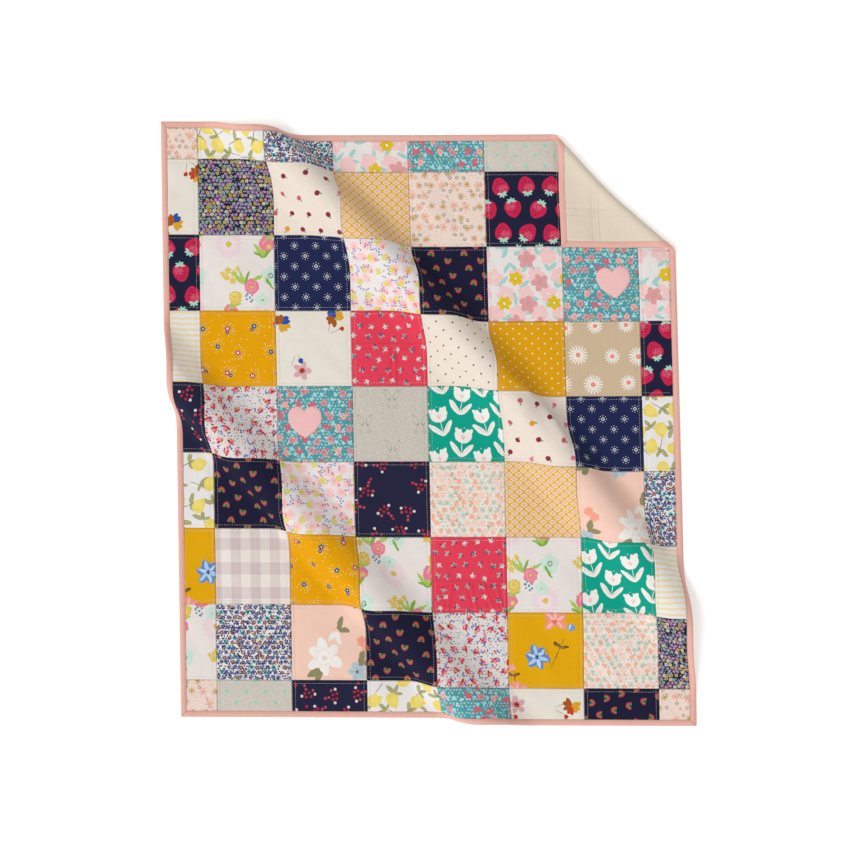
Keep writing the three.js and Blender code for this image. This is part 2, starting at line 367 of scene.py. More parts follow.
# Seams and tucks inside a square, in mm: each is a fold beside a trough.
TUCK_FOLD = dict(height=2.3, place=3.2, width=2.3)
TUCK_TROUGH = dict(height=-2.6, place=-1.0, width=1.5)
TUCKS = (
    dict(start=(-127, 130), end=(0, 130)),
    dict(start=(-58, 130), end=(-58, 64)),
    dict(start=(0, -270), end=(127, -270)),
    dict(start=(30, -272), end=(22, -316)),
    dict(start=(62, -272), end=(72, -316)),
    dict(start=(84, -272), end=(101, -316)),
    dict(start=(104, -272), end=(118, -316)),
)


def tucked(u, v):
    """Height of the small folds and seams inside single squares."""
    height = np.zeros_like(u)
    for tuck in TUCKS:
        across, along, _ = against_line(tuck["start"], tuck["end"], u, v)
        inside = np.abs(along - 0.5) < 0.51
        for part in (TUCK_FOLD, TUCK_TROUGH):
            shape = part["height"] * dip(across, part["place"] * MM, part["width"] * MM)
            height += np.where(inside, shape, 0) * MM
    return height


def quilted(u, v, seed, seam_depth):
    """Relief of the cloth over seams and stitches, in metres."""
    s = sizes()
    across, column = seam_distance(u, s.columns)
    along, row = seam_distance(v, s.rows)
    nearest = np.minimum(across, along)
    puffed = np.clip((nearest - s.stitch_inset) / (PUFF["reach"] * MM), 0, 1) ** PUFF["power"]
    relief = PUFF["height"] * puffed
    for distance, place, index in ((across, v, column), (along, u, row)):
        pucker = soft_noise(place / (PUCKERS["length"] * MM), index + 0.5, seed)
        nearness = np.exp(-np.abs(distance - s.stitch_inset) / (PUCKERS["reach"] * MM))
        allowance = dip(distance, ALLOWANCE["place"] * MM, ALLOWANCE["width"] * MM)
        trough = dip(distance, s.stitch_inset, STITCH_TROUGH["width"] * MM)
        relief -= seam_depth * dip(distance, 0, SEAM_WIDTH * MM)
        relief += ALLOWANCE["height"] * allowance
        relief -= STITCH_TROUGH["depth"] * trough
        relief += PUCKERS["height"] * pucker * nearness
    for number, swell in enumerate(SWELLS):
        length = swell["length"] * MM
        relief += swell["height"] * soft_noise(u / length, v / length, seed + 1 + number)
    least, free = UNDULATIONS["least"], np.clip(nearest / (UNDULATIONS["free"] * MM), 0, 1)
    run_u, run_v = UNDULATION_DIRECTION
    undulation = soft_noise((run_u * u + run_v * v) / (UNDULATIONS["across"] * MM),
                            (run_v * u - run_u * v) / (UNDULATIONS["along"] * MM), seed + 3)
    relief += UNDULATIONS["height"] * (least + (1 - least) * free) * undulation
    return relief * MM


def pressed_under_binding(u, v):
    """How far the cloth is pressed flat: 0 where it shows, and 1 under the binding."""
    inset = np.minimum(half_width() - np.abs(u), half_length() - np.abs(v))
    from_hem = sizes().binding + UNDER_BINDING["from_hem"] * MM - inset
    return np.clip(from_hem / (UNDER_BINDING["over"] * MM), 0, 1)


def top_height(u, v):
    """Height of the pieced top's face."""
    pressed = pressed_under_binding(u, v)
    # However deep a seam is, the cloth keeps some thickness over its underside.
    relief = quilted(u, v, SEEDS["top"], TOP_SEAM_DEPTH) + tucked(u, v)
    free = np.maximum(TOP + relief, LEAST_TOP)
    return free * (1 - pressed) + UNDER_BINDING["top"] * MM * pressed


def back_height(u, v):
    """Height of the backing's face: flat where it rests, drawn in at the stitches."""
    pressed = pressed_under_binding(u, v)
    flap = on_flap(u, v)
    shown = BACK_SHARE + FLAP_SHARE * flap
    recess = BACK_RECESS * MM - shown * quilted(u, v, SEEDS["back"], 0)
    # On the flap nothing presses the backing flat, and it wrinkles away from the fold.
    fans = soft_noise((u - v) / (FLAP_FANS["across"] * MM), (u + v) / (FLAP_FANS["along"] * MM),
                      SEEDS["fans"])
    ripples = soft_noise(u / (FLAP_RIPPLES["across"] * MM), v / (FLAP_RIPPLES["along"] * MM),
                         SEEDS["ripples"])
    recess += flap * (FLAP_FANS["height"] * fans + FLAP_RIPPLES["height"] * ripples) * MM
    free = BOTTOM + np.clip(recess, FLAP_LOWEST * MM * flap, BACK_HIGHEST * MM)
    return free * (1 - pressed) + UNDER_BINDING["bottom"] * MM * pressed


# ---- Making pieces -----------------------------------------------------------------

def flat_sheet(name, across, along):
    """A closed sheet with its lines at the stations given: its mesh, its flat points
    as u, v, and which of them are on its upper face."""
    bm = bmesh.new()
    bmesh.ops.create_grid(bm, x_segments=len(across) - 1, y_segments=len(along) - 1, size=0.5)
    bmesh.ops.solidify(bm, geom=bm.faces[:], thickness=1.0)
    bmesh.ops.recalc_face_normals(bm, faces=bm.faces[:])
    mesh = mesh_from(bm, name)
    points = read_points(mesh)
    u = np.array(across)[np.rint((points[:, 0] + 0.5) * (len(across) - 1)).astype(int)]
    v = np.array(along)[np.rint((points[:, 1] + 0.5) * (len(along) - 1)).astype(int)]
    return mesh, u, v, points[:, 2] > points[:, 2].mean()


def mesh_from(bm, name):
    mesh = bpy.data.meshes.new(name)
    bm.to_mesh(mesh)
    bm.free()
    return mesh


def read_points(mesh):
    points = np.empty(len(mesh.vertices) * 3)
    mesh.vertices.foreach_get("co", points)
    return points.reshape(-1, 3)


def lay_points(mesh, u, v, height):
    """Puts a mesh's points where its flat places and heights come to lie."""
    mesh.vertices.foreach_set("co", lay(np.stack([u, v, height], axis=1)).ravel())
    mesh.update()


def write_cloth_map(mesh, u, v):
    """The cloth's own flat coordinates, in metres, as the UV map that its print follows."""
    corners = np.empty(len(mesh.loops), dtype=int)
    mesh.loops.foreach_get("vertex_index", corners)
    layer = mesh.uv_layers.new(name="Cloth")
    layer.data.foreach_set("uv", np.stack([u[corners], v[corners]], axis=1).ravel())


def add_piece(mesh, material, slot, *nodes):
    """Adds a finished piece, which rides on the quilt and stands for the nodes named."""
    piece = bpy.data.objects.new(mesh.name, mesh)
    bpy.context.collection.objects.link(piece)
    mesh.materials.append(material)
    mesh.shade_smooth()
    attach(piece, "root")
    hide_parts(*nodes)
    return piece


# ---- Node trees --------------------------------------------------------------------

def add(tree, kind, inputs=(), **settings):
    """Adds a node: its settings, then its inputs, in order or by name. Each is a value, a
    socket to link, or a node whose first output is linked."""
    node = tree.nodes.new(kind)
    for name, value in settings.items():
        setattr(node, name, value)
    for name, value in inputs.items() if isinstance(inputs, dict) else enumerate(inputs):
        if isinstance(value, bpy.types.Node):
            value = value.outputs[0]
        if isinstance(value, bpy.types.NodeSocket):
            tree.links.new(value, node.inputs[name])
        else:
            node.inputs[name].default_value = value
    return node


def new_group(name, inputs, outputs):
    """An empty node group with the sockets named, and its two end nodes."""
    tree = bpy.data.node_groups.new(name, "ShaderNodeTree")
    for direction, sockets in (("INPUT", inputs), ("OUTPUT", outputs)):
        for socket_name, (kind, default) in sockets.items():
            socket = tree.interface.new_socket(
                socket_name, in_out=direction, socket_type="NodeSocket" + kind)
            if default is not None:
                socket.default_value = default
    return tree, add(tree, "NodeGroupInput").outputs


def make_repeat_group():
    """Divides the cloth into cells: the place in the cell, in metres, and random values."""
    tree, given = new_group(
        "Print repeat",
        {
            "Cloth": ("Vector", None), "Across": ("Float", 0.02), "Along": ("Float", 0.02),
            "Stagger": ("Float", 0.5), "Shift": ("Float", 0.0), "Jitter": ("Float", 0.0),
            "Seed": ("Float", 0.0),
        },
        {"Place": ("Vector", None), "Choice": ("Float", None), "Spin": ("Float", None)},
    )
    cloth = add(tree, "ShaderNodeSeparateXYZ", [given["Cloth"]]).outputs
    rows = add(tree, "ShaderNodeMath", [cloth["Y"], given["Along"]], operation="DIVIDE")
    rows = add(tree, "ShaderNodeMath", [rows, given["Shift"]], operation="ADD")
    row = add(tree, "ShaderNodeMath", [rows], operation="FLOOR")
    columns = add(tree, "ShaderNodeMath", [cloth["X"], given["Across"]], operation="DIVIDE")
    columns = add(tree, "ShaderNodeMath", [columns, given["Shift"]], operation="ADD")
    columns = add(tree, "ShaderNodeMath", [row, given["Stagger"], columns], operation="MULTIPLY_ADD")
    column = add(tree, "ShaderNodeMath", [columns], operation="FLOOR")
    cell = add(tree, "ShaderNodeCombineXYZ", [column, row, given["Seed"]])
    chance = add(tree, "ShaderNodeTexWhiteNoise", [cell], noise_dimensions="3D").outputs
    drawn = add(tree, "ShaderNodeSeparateColor", [chance["Color"]]).outputs
    place = []
    for reached, whole, pitch, draw in (
        (columns, column, given["Across"], drawn[0]), (rows, row, given["Along"], drawn[1]),
    ):
        inside = add(tree, "ShaderNodeMath", [reached, whole], operation="SUBTRACT")
        inside = add(tree, "ShaderNodeMath", [inside, 0.5], operation="SUBTRACT")
        drift = add(tree, "ShaderNodeMath", [0.5, draw], operation="SUBTRACT")
        drift = add(tree, "ShaderNodeMath", [drift, given["Jitter"]], operation="MULTIPLY")
        place.append(add(tree, "ShaderNodeMath", [inside, pitch, drift], operation="MULTIPLY_ADD"))
    place = add(tree, "ShaderNodeCombineXYZ", place)
    add(tree, "NodeGroupOutput", {"Place": place, "Choice": chance["Value"], "Spin": drawn[2]})
    return tree


# A tapered shape never gets narrower than this share of its width.
NARROWEST_TAPER = 0.08


def make_motif_group():
    """One printed shape about the middle of a cell: a dot, ring, flower, leaf or stripe."""
    tree, given = new_group(
        "Print motif",
        {
            "Place": ("Vector", None), "Choice": ("Float", 0.0), "Spin": ("Float", 0.0),
            "Move X": ("Float", 0.0), "Move Y": ("Float", 0.0), "Turn": ("Float", 0.0),
            "Lean": ("Float", 0.0), "Spread": ("Float", 0.0), "Squash X": ("Float", 1.0),
            "Squash Y": ("Float", 1.0), "Radius": ("Float", 0.005), "Hole": ("Float", 0.0),
            "Petals": ("Float", 0.0),
            "Depth": ("Float", 0.0), "Taper": ("Float", 0.0), "Floor": ("Float", -1.0),
            "Soft": ("Float", 0.0004), "From": ("Float", 0.0), "To": ("Float", 1.0),
            "Strength": ("Float", 1.0),
        },
        {"Mask": ("Float", None)},
    )
    angle = add(tree, "ShaderNodeMath", [given["Spin"], given["Spread"], given["Turn"]],
                operation="MULTIPLY_ADD")
    spun = add(tree, "ShaderNodeVectorRotate", {"Vector": given["Place"], "Angle": angle},
               rotation_type="Z_AXIS")
    move = add(tree, "ShaderNodeCombineXYZ", [given["Move X"], given["Move Y"]])
    moved = add(tree, "ShaderNodeVectorMath", [spun, move], operation="SUBTRACT")
    leant = add(tree, "ShaderNodeVectorRotate", {"Vector": moved, "Angle": given["Lean"]},
                rotation_type="Z_AXIS")
    leant = add(tree, "ShaderNodeSeparateXYZ", [leant]).outputs
    y = add(tree, "ShaderNodeMath", [leant["Y"], given["Squash Y"]], operation="MULTIPLY")
    widening = add(tree, "ShaderNodeMath", [y, given["Radius"]], operation="DIVIDE")
    widening = add(tree, "ShaderNodeMath", [widening, given["Taper"], 1.0], operation="MULTIPLY_ADD")
    widening = add(tree, "ShaderNodeMath", [widening, NARROWEST_TAPER], operation="MAXIMUM")
    x = add(tree, "ShaderNodeMath", [leant["X"], given["Squash X"]], operation="MULTIPLY")
    x = add(tree, "ShaderNodeMath", [x, widening], operation="DIVIDE")
    squares = add(tree, "ShaderNodeMath", [y, y], operation="MULTIPLY")
    squares = add(tree, "ShaderNodeMath", [x, x, squares], operation="MULTIPLY_ADD")
    reach = add(tree, "ShaderNodeMath", [squares], operation="SQRT")
    # Half a turn of the cosine is one petal.
    lobe = add(tree, "ShaderNodeMath", [x, y], operation="ARCTAN2")
    lobe = add(tree, "ShaderNodeMath", [lobe, given["Petals"]], operation="MULTIPLY")
    lobe = add(tree, "ShaderNodeMath", [lobe, 0.5], operation="MULTIPLY")
    lobe = add(tree, "ShaderNodeMath", [lobe], operation="COSINE")
    lobe = add(tree, "ShaderNodeMath", [lobe], operation="ABSOLUTE")
    lobe = add(tree, "ShaderNodeMath", [1.0, lobe], operation="SUBTRACT")
    lobe = add(tree, "ShaderNodeMath", [lobe, given["Depth"]], operation="MULTIPLY")
    edge = add(tree, "ShaderNodeMath", [1.0, lobe], operation="SUBTRACT")
    edge = add(tree, "ShaderNodeMath", [edge, given["Radius"]], operation="MULTIPLY")
    mask = given["Strength"]
    for over, under in ((edge, reach), (reach, given["Hole"]), (y, given["Floor"])):
        share = add(tree, "ShaderNodeMath", [over, under], operation="SUBTRACT")
        share = add(tree, "ShaderNodeMath", [share, given["Soft"]], operation="DIVIDE")
        share = add(tree, "ShaderNodeMath", [share, 0.5], operation="ADD", use_clamp=True)
        mask = add(tree, "ShaderNodeMath", [mask, share], operation="MULTIPLY")
    for limit, operation in (("From", "GREATER_THAN"), ("To", "LESS_THAN")):
        picked = add(tree, "ShaderNodeMath", [given["Choice"], given[limit]], operation=operation)
        mask = add(tree, "ShaderNodeMath", [mask, picked], operation="MULTIPLY")
    add(tree, "NodeGroupOutput", {"Mask": mask})
    return tree


def make_hand_drawn_group():
    """The cloth's coordinates with a slight waver, so that printed edges look hand drawn."""
    tree, given = new_group(
        "Hand drawn edge", {"Amount": ("Float", 0.0012), "Size": ("Float", 0.006)},
        {"Cloth": ("Vector", None)},
    )
    cloth = add(tree, "ShaderNodeUVMap", uv_map="Cloth")
    scale = add(tree, "ShaderNodeMath", [1.0, given["Size"]], operation="DIVIDE")
    noise = add(tree, "ShaderNodeTexNoise", {"Vector": cloth, "Scale": scale, "Detail": 1.0},
                noise_dimensions="2D")
    waver = add(tree, "ShaderNodeVectorMath", [noise.outputs["Color"], (0.5, 0.5, 0.5)],
                operation="SUBTRACT")
    waver = add(tree, "ShaderNodeVectorMath", {0: waver, "Scale": given["Amount"]}, operation="SCALE")
    moved = add(tree, "ShaderNodeVectorMath", [cloth, waver], operation="ADD")
    add(tree, "NodeGroupOutput", {"Cloth": moved})
    return tree


# How much closer the streaks of mixed fibres lie across the threads than along them.
STREAK_SQUEEZE = 2.2


def make_weave_group():
    """Plain-woven cotton, washed: a fine weave with a faint painted shade in its dips, soft crinkles and
    slightly uneven dye.
    Real threads lie about 0.35 mm apart; here they are 0.9 mm, to show at all."""
    tree, given = new_group(
        "Washed cotton",
        {"Colour": ("Color", None), "Thread": ("Float", 0.0009), "Weave": ("Float", 0.12),
         "Crinkle": ("Float", 0.5), "Mottle": ("Float", 0.04), "Heather": ("Float", 0.0)},
        {"Colour": ("Color", None), "Normal": ("Vector", None)},
    )
    cloth = add(tree, "ShaderNodeUVMap", uv_map="Cloth")
    axes = add(tree, "ShaderNodeSeparateXYZ", [cloth]).outputs
    turns = add(tree, "ShaderNodeMath", [2 * math.pi, given["Thread"]], operation="DIVIDE")
    waves = []
    for axis in ("X", "Y"):
        wave = add(tree, "ShaderNodeMath", [axes[axis], turns], operation="MULTIPLY")
        waves.append(add(tree, "ShaderNodeMath", [wave], operation="SINE"))
    threads = add(tree, "ShaderNodeMath", waves, operation="MULTIPLY")
    # Crinkles of washing, patches of uneven dye, and streaks that run with the threads.
    squeezed = add(tree, "ShaderNodeVectorMath", [cloth, (1.0, STREAK_SQUEEZE, 1.0)],
                   operation="MULTIPLY")
    crinkle, mottle, streaks = [
        add(tree, "ShaderNodeTexNoise", {"Vector": place, "Scale": scale, "Detail": detail},
            noise_dimensions="2D")
        for place, scale, detail in ((cloth, 95.0, 2.0), (cloth, 70.0, 3.0), (squeezed, 190.0, 5.0))
    ]
    height = add(tree, "ShaderNodeMath", [threads, given["Weave"]], operation="MULTIPLY")
    height = add(tree, "ShaderNodeMath", [crinkle, given["Crinkle"], height], operation="MULTIPLY_ADD")
    normal = add(tree, "ShaderNodeBump", {"Strength": 0.55, "Distance": 0.0016, "Height": height})
    # The colour is a little lighter where the threads stand up and darker in their dips. This is a
    # painted shade of the weave, a quarter as strong as the mottle.
    value = add(tree, "ShaderNodeMath", [given["Mottle"], 0.25], operation="MULTIPLY")
    value = add(tree, "ShaderNodeMath", [threads, value, 1.0], operation="MULTIPLY_ADD")
    for unevenness, amount in ((mottle, given["Mottle"]), (streaks, given["Heather"])):
        share = add(tree, "ShaderNodeMath", [unevenness, 0.5], operation="SUBTRACT")
        value = add(tree, "ShaderNodeMath", [share, amount, value], operation="MULTIPLY_ADD")
    colour = add(tree, "ShaderNodeHueSaturation", {"Value": value, "Color": given["Colour"]})
    add(tree, "NodeGroupOutput", {"Colour": colour, "Normal": normal})
    return tree


def shared_group(name):
    """One of the groups above, made the first time that it is asked for."""
    makers = {
        "Print repeat": make_repeat_group, "Print motif": make_motif_group,
        "Hand drawn edge": make_hand_drawn_group, "Washed cotton": make_weave_group,
    }
    return bpy.data.node_groups.get(name) or makers[name]()


def new_cotton(name, colour, prints=(), waver=(1.2, 6), heather=0.0):
    """A washed cotton: matt and deep in colour, with hardly any fuzz or shine, and soft shading
    from its crinkles. A print lies in the cloth, so it is as matt as its ground."""
    material = bpy.data.materials.new(name)
    material.use_nodes = True
    material.diffuse_color = colour
    tree = material.node_tree
    tree.nodes.clear()
    dyed = printed(tree, colour, prints, waver) if prints else colour
    finish = add(tree, "ShaderNodeGroup", {"Colour": dyed, "Heather": heather},
                 node_tree=shared_group("Washed cotton")).outputs
    shader = add(tree, "ShaderNodeBsdfPrincipled", {
        "Base Color": finish["Colour"], "Normal": finish["Normal"], "Roughness": 0.9,
        "Sheen Weight": 0.03, "Sheen Roughness": 0.5, "Specular IOR Level": 0.1,
    })
    add(tree, "ShaderNodeOutputMaterial", {"Surface": shader})
    return material


def printed(tree, ground, prints, waver):
    """The ground colour with each repeat's shapes printed over it, in order."""
    drawn = add(tree, "ShaderNodeGroup", {"Amount": waver[0] * MM, "Size": waver[1] * MM},
                node_tree=shared_group("Hand drawn edge"))
    colour = ground
    for seed, (cell, shapes) in enumerate(prints):
        cells = add(tree, "ShaderNodeGroup", {"Cloth": drawn, "Seed": seed + 1, **cell},
                    node_tree=shared_group("Print repeat")).outputs
        for shape_colour, settings in shapes:
            shape = add(tree, "ShaderNodeGroup", {
                "Place": cells["Place"], "Choice": cells["Choice"], "Spin": cells["Spin"], **settings,
            }, node_tree=shared_group("Print motif"))
            # The colour mix's factor, its two colours and its result have only their numbers.
            mix = add(tree, "ShaderNodeMix", {0: shape, 6: colour, 7: linear(shape_colour)},
                      data_type="RGBA")
            colour = mix.outputs[2]
    return colour


# ---- Printed cottons ---------------------------------------------------------------
# Each is a ground colour and its repeats, printed in order. A repeat is the size of its
# cell in mm and the shapes in it. Each cell has its own random draw, which turns its
# shapes by up to their spread, and prints those whose pick it falls within.

def motif(colour, radius, at=(0, 0), turn=0, lean=0, squash=(1, 1), hole=0, petals=0, depth=0,
          taper=0, floor=-1000, soft=0.5, strength=1, **draw):
    """A printed shape: lengths in mm, angles in degrees clockwise from up."""
    return [(colour, {
        "Radius": radius * MM, "Move X": at[0] * MM, "Move Y": at[1] * MM,
        "Turn": math.radians(turn), "Lean": math.radians(lean),
        "Squash X": squash[0], "Squash Y": squash[1], "Hole": hole * MM, "Petals": petals,
        "Depth": depth, "Taper": taper, "Floor": floor * MM, "Soft": soft * MM,
        "Strength": strength, **cell_draw(**draw),
    })]


def cell_draw(spread=None, pick=None):
    """What a cell's draw does to a shape, as far as it is given."""
    chosen = {}
    if spread is not None:
        chosen["Spread"] = math.radians(spread)
    if pick is not None:
        chosen["From"], chosen["To"] = pick
    return chosen


def flower(colour, radius, petals=5, depth=0.38, centre=None, heart=0.26, spread=360, **more):
    """A flower of rounded petals and its centre."""
    shapes = motif(colour, radius, petals=petals, depth=depth, spread=spread, **more)
    if centre:
        shapes += motif(centre, radius * heart, spread=spread, **more)
    return shapes


def leaf(colour, length, at=(0, 0), slim=2.6, **more):
    """A leaf or a stroke of the brush."""
    return motif(colour, length / 2, at=at, squash=(slim, 1), **more)


def fan(colour, root, lengths, leans, slim=3.2, **more):
    """Leaves that spread from one root."""
    shapes = []
    for length, lean in zip(lengths, leans):
        out = math.radians(lean)
        middle = (root[0] + length / 2 * math.sin(out), root[1] + length / 2 * math.cos(out))
        shapes += leaf(colour, length, at=middle, lean=lean, slim=slim, **more)
    return shapes


def cluster(colour, radius, places, **more):
    """Small shapes that sit together."""
    return sum((motif(colour, radius, at=place, **more) for place in places), [])


def repeat(across, along, *groups, stagger=0.5, shift=0, jitter=0, spread=0, pick=(0, 1)):
    """One repeat of a print. Its spread and pick go for the shapes that have none of their own."""
    cell = {"Across": across * MM, "Along": along * MM, "Stagger": stagger, "Shift": shift,
            "Jitter": jitter * MM}
    shared = cell_draw(spread, pick)
    return cell, [(colour, {**shared, **shape}) for colour, shape in sum(groups, [])]


def design(ground, *repeats, waver=(1.2, 6), heather=0.0):
    """A printed cotton: its ground, its repeats, how far its printed edges waver and over what
    length, in mm, and how strong the streaks along its threads are, if its fibres are mixed."""
    return dict(colour=linear(ground), prints=repeats, waver=waver, heather=heather)


def rainbow(turn):
    bands = (("CB4A60", 6.3, 5.0), ("C9923E", 4.3, 3.2), ("3F8050", 2.6, 1.0))
    return sum((motif(colour, outer, at=(0, -3.0), turn=turn, spread=14, hole=inner,
                      squash=(1.06, 0.74), floor=-0.8) for colour, outer, inner in bands), [])


def strawberry(turn):
    seeds = [(-6, 4.5), (-1, 6.5), (5.5, 4), (-3.5, 0), (2.5, -0.5), (7.6, -0.5), (-5.6, -4.5),
             (-0.6, -5.6), (4.2, -6), (1, -10)]
    crown = (8.5, 7.5, 6.5, 7.5, 8.5), (-104, -58, 4, 60, 108)
    laid = dict(turn=turn, spread=64)
    return [
        *motif("C6244E", 13.6, at=(0, -1), squash=(1.0, 0.9), taper=0.26, soft=0.8, **laid),
        *motif("DE6A84", 6.2, at=(-3, 3.4), squash=(0.9, 1.1), soft=6, strength=0.6, **laid),
        *cluster("4E0F24", 0.95, seeds, **laid),
        *fan("A3D6C4", (0, 12.4), *crown, slim=2.3, **laid),
    ]


def diamonds(shift):
    # Lozenges: a pale outline round a blush middle with a small marked centre.
    lozenge = dict(squash=(1, 1.36), petals=4, depth=0.25)
    return repeat(
        16.1, 14.5,
        motif("F2E6D2", 5.8, **lozenge),
        motif("D9A25C", 4.2, soft=0.6, **lozenge),
        motif("EBC9B4", 3.3, soft=0.6, **lozenge),
        motif("DD9E82", 1.3, squash=(1, 1.3), hole=0.4, soft=0.7),
        stagger=0, shift=shift,
    )


def medallions(shift):
    # A ring of four points round a dot, in a circle of eight smaller dots.
    around = [(5.9 * math.sin(math.radians(turn)), 5.9 * math.cos(math.radians(turn)))
              for turn in range(0, 360, 45)]
    return repeat(
        36.2, 34.6,
        motif("E6E8EE", 3.2, petals=4, depth=0.27, hole=1.9, soft=0.3),
        motif("E6E8EE", 0.6, soft=0.3),
        cluster("E6E8EE", 0.62, around, soft=0.3),
        stagger=0, shift=shift,
    )


def rabbits(shift):
    # Plain rabbit heads in a thin outline: two long ears, cheeks and whiskers.
    ears, cheeks, whiskers = [], [], []
    for side in (-1, 1):
        ears += motif("8F8981", 9.8, at=(side * 7.6, 8), lean=side * 24, squash=(2.7, 1),
                      taper=-0.25, hole=8.5, soft=0.8)
        cheeks += motif("9A948C", 6, at=(side * 4.6, -2), lean=side * -22, squash=(12, 1),
                        soft=0.7, strength=0.7)
        for drop, tilt in ((2.6, -12), (0, 0), (-2.6, 12)):
            whiskers += motif("8F8981", 4.6, at=(side * 7, drop - 12), lean=90 + side * tilt,
                              squash=(13, 1), soft=0.7, strength=0.8)
    return repeat(93, 85, ears, cheeks, whiskers, stagger=0, shift=shift)


def tulips(shift, turn):
    leaves, petals, notches, veins = (-42, 40), (-38, 0, 38), (-17, 17), (-26, 0, 26)
    return repeat(
        74, 70,
        fan("ECEBE5", (0, -25), (31, 29), leaves, slim=3.5, turn=turn),
        fan("F2A6B0", (0, -23), (23, 22), leaves, slim=26, turn=turn),
        fan("ECEBE5", (0, -25), (30,), (0,), slim=26, turn=turn),
        motif("ECEBE5", 12.6, at=(0, 10), turn=turn, squash=(0.86, 1), floor=-13.2, taper=0.1),
        fan("ECEBE5", (0, 4), (23, 21, 23), petals, slim=2.5, turn=turn),
        # The cup's open top: two notches of the ground colour between its points.
        fan(TULIP_GROUND, (0, 15), (15, 15), notches, slim=3.4, turn=turn),
        fan("F2A6B0", (0, 3), (9, 10, 9), veins, slim=8, turn=turn),
        stagger=0, shift=shift,
    )


def round_leans(first, count):
    """Even leans for the petals of one flower, from the first all the way round."""
    return range(first, first + 360, 360 // count)


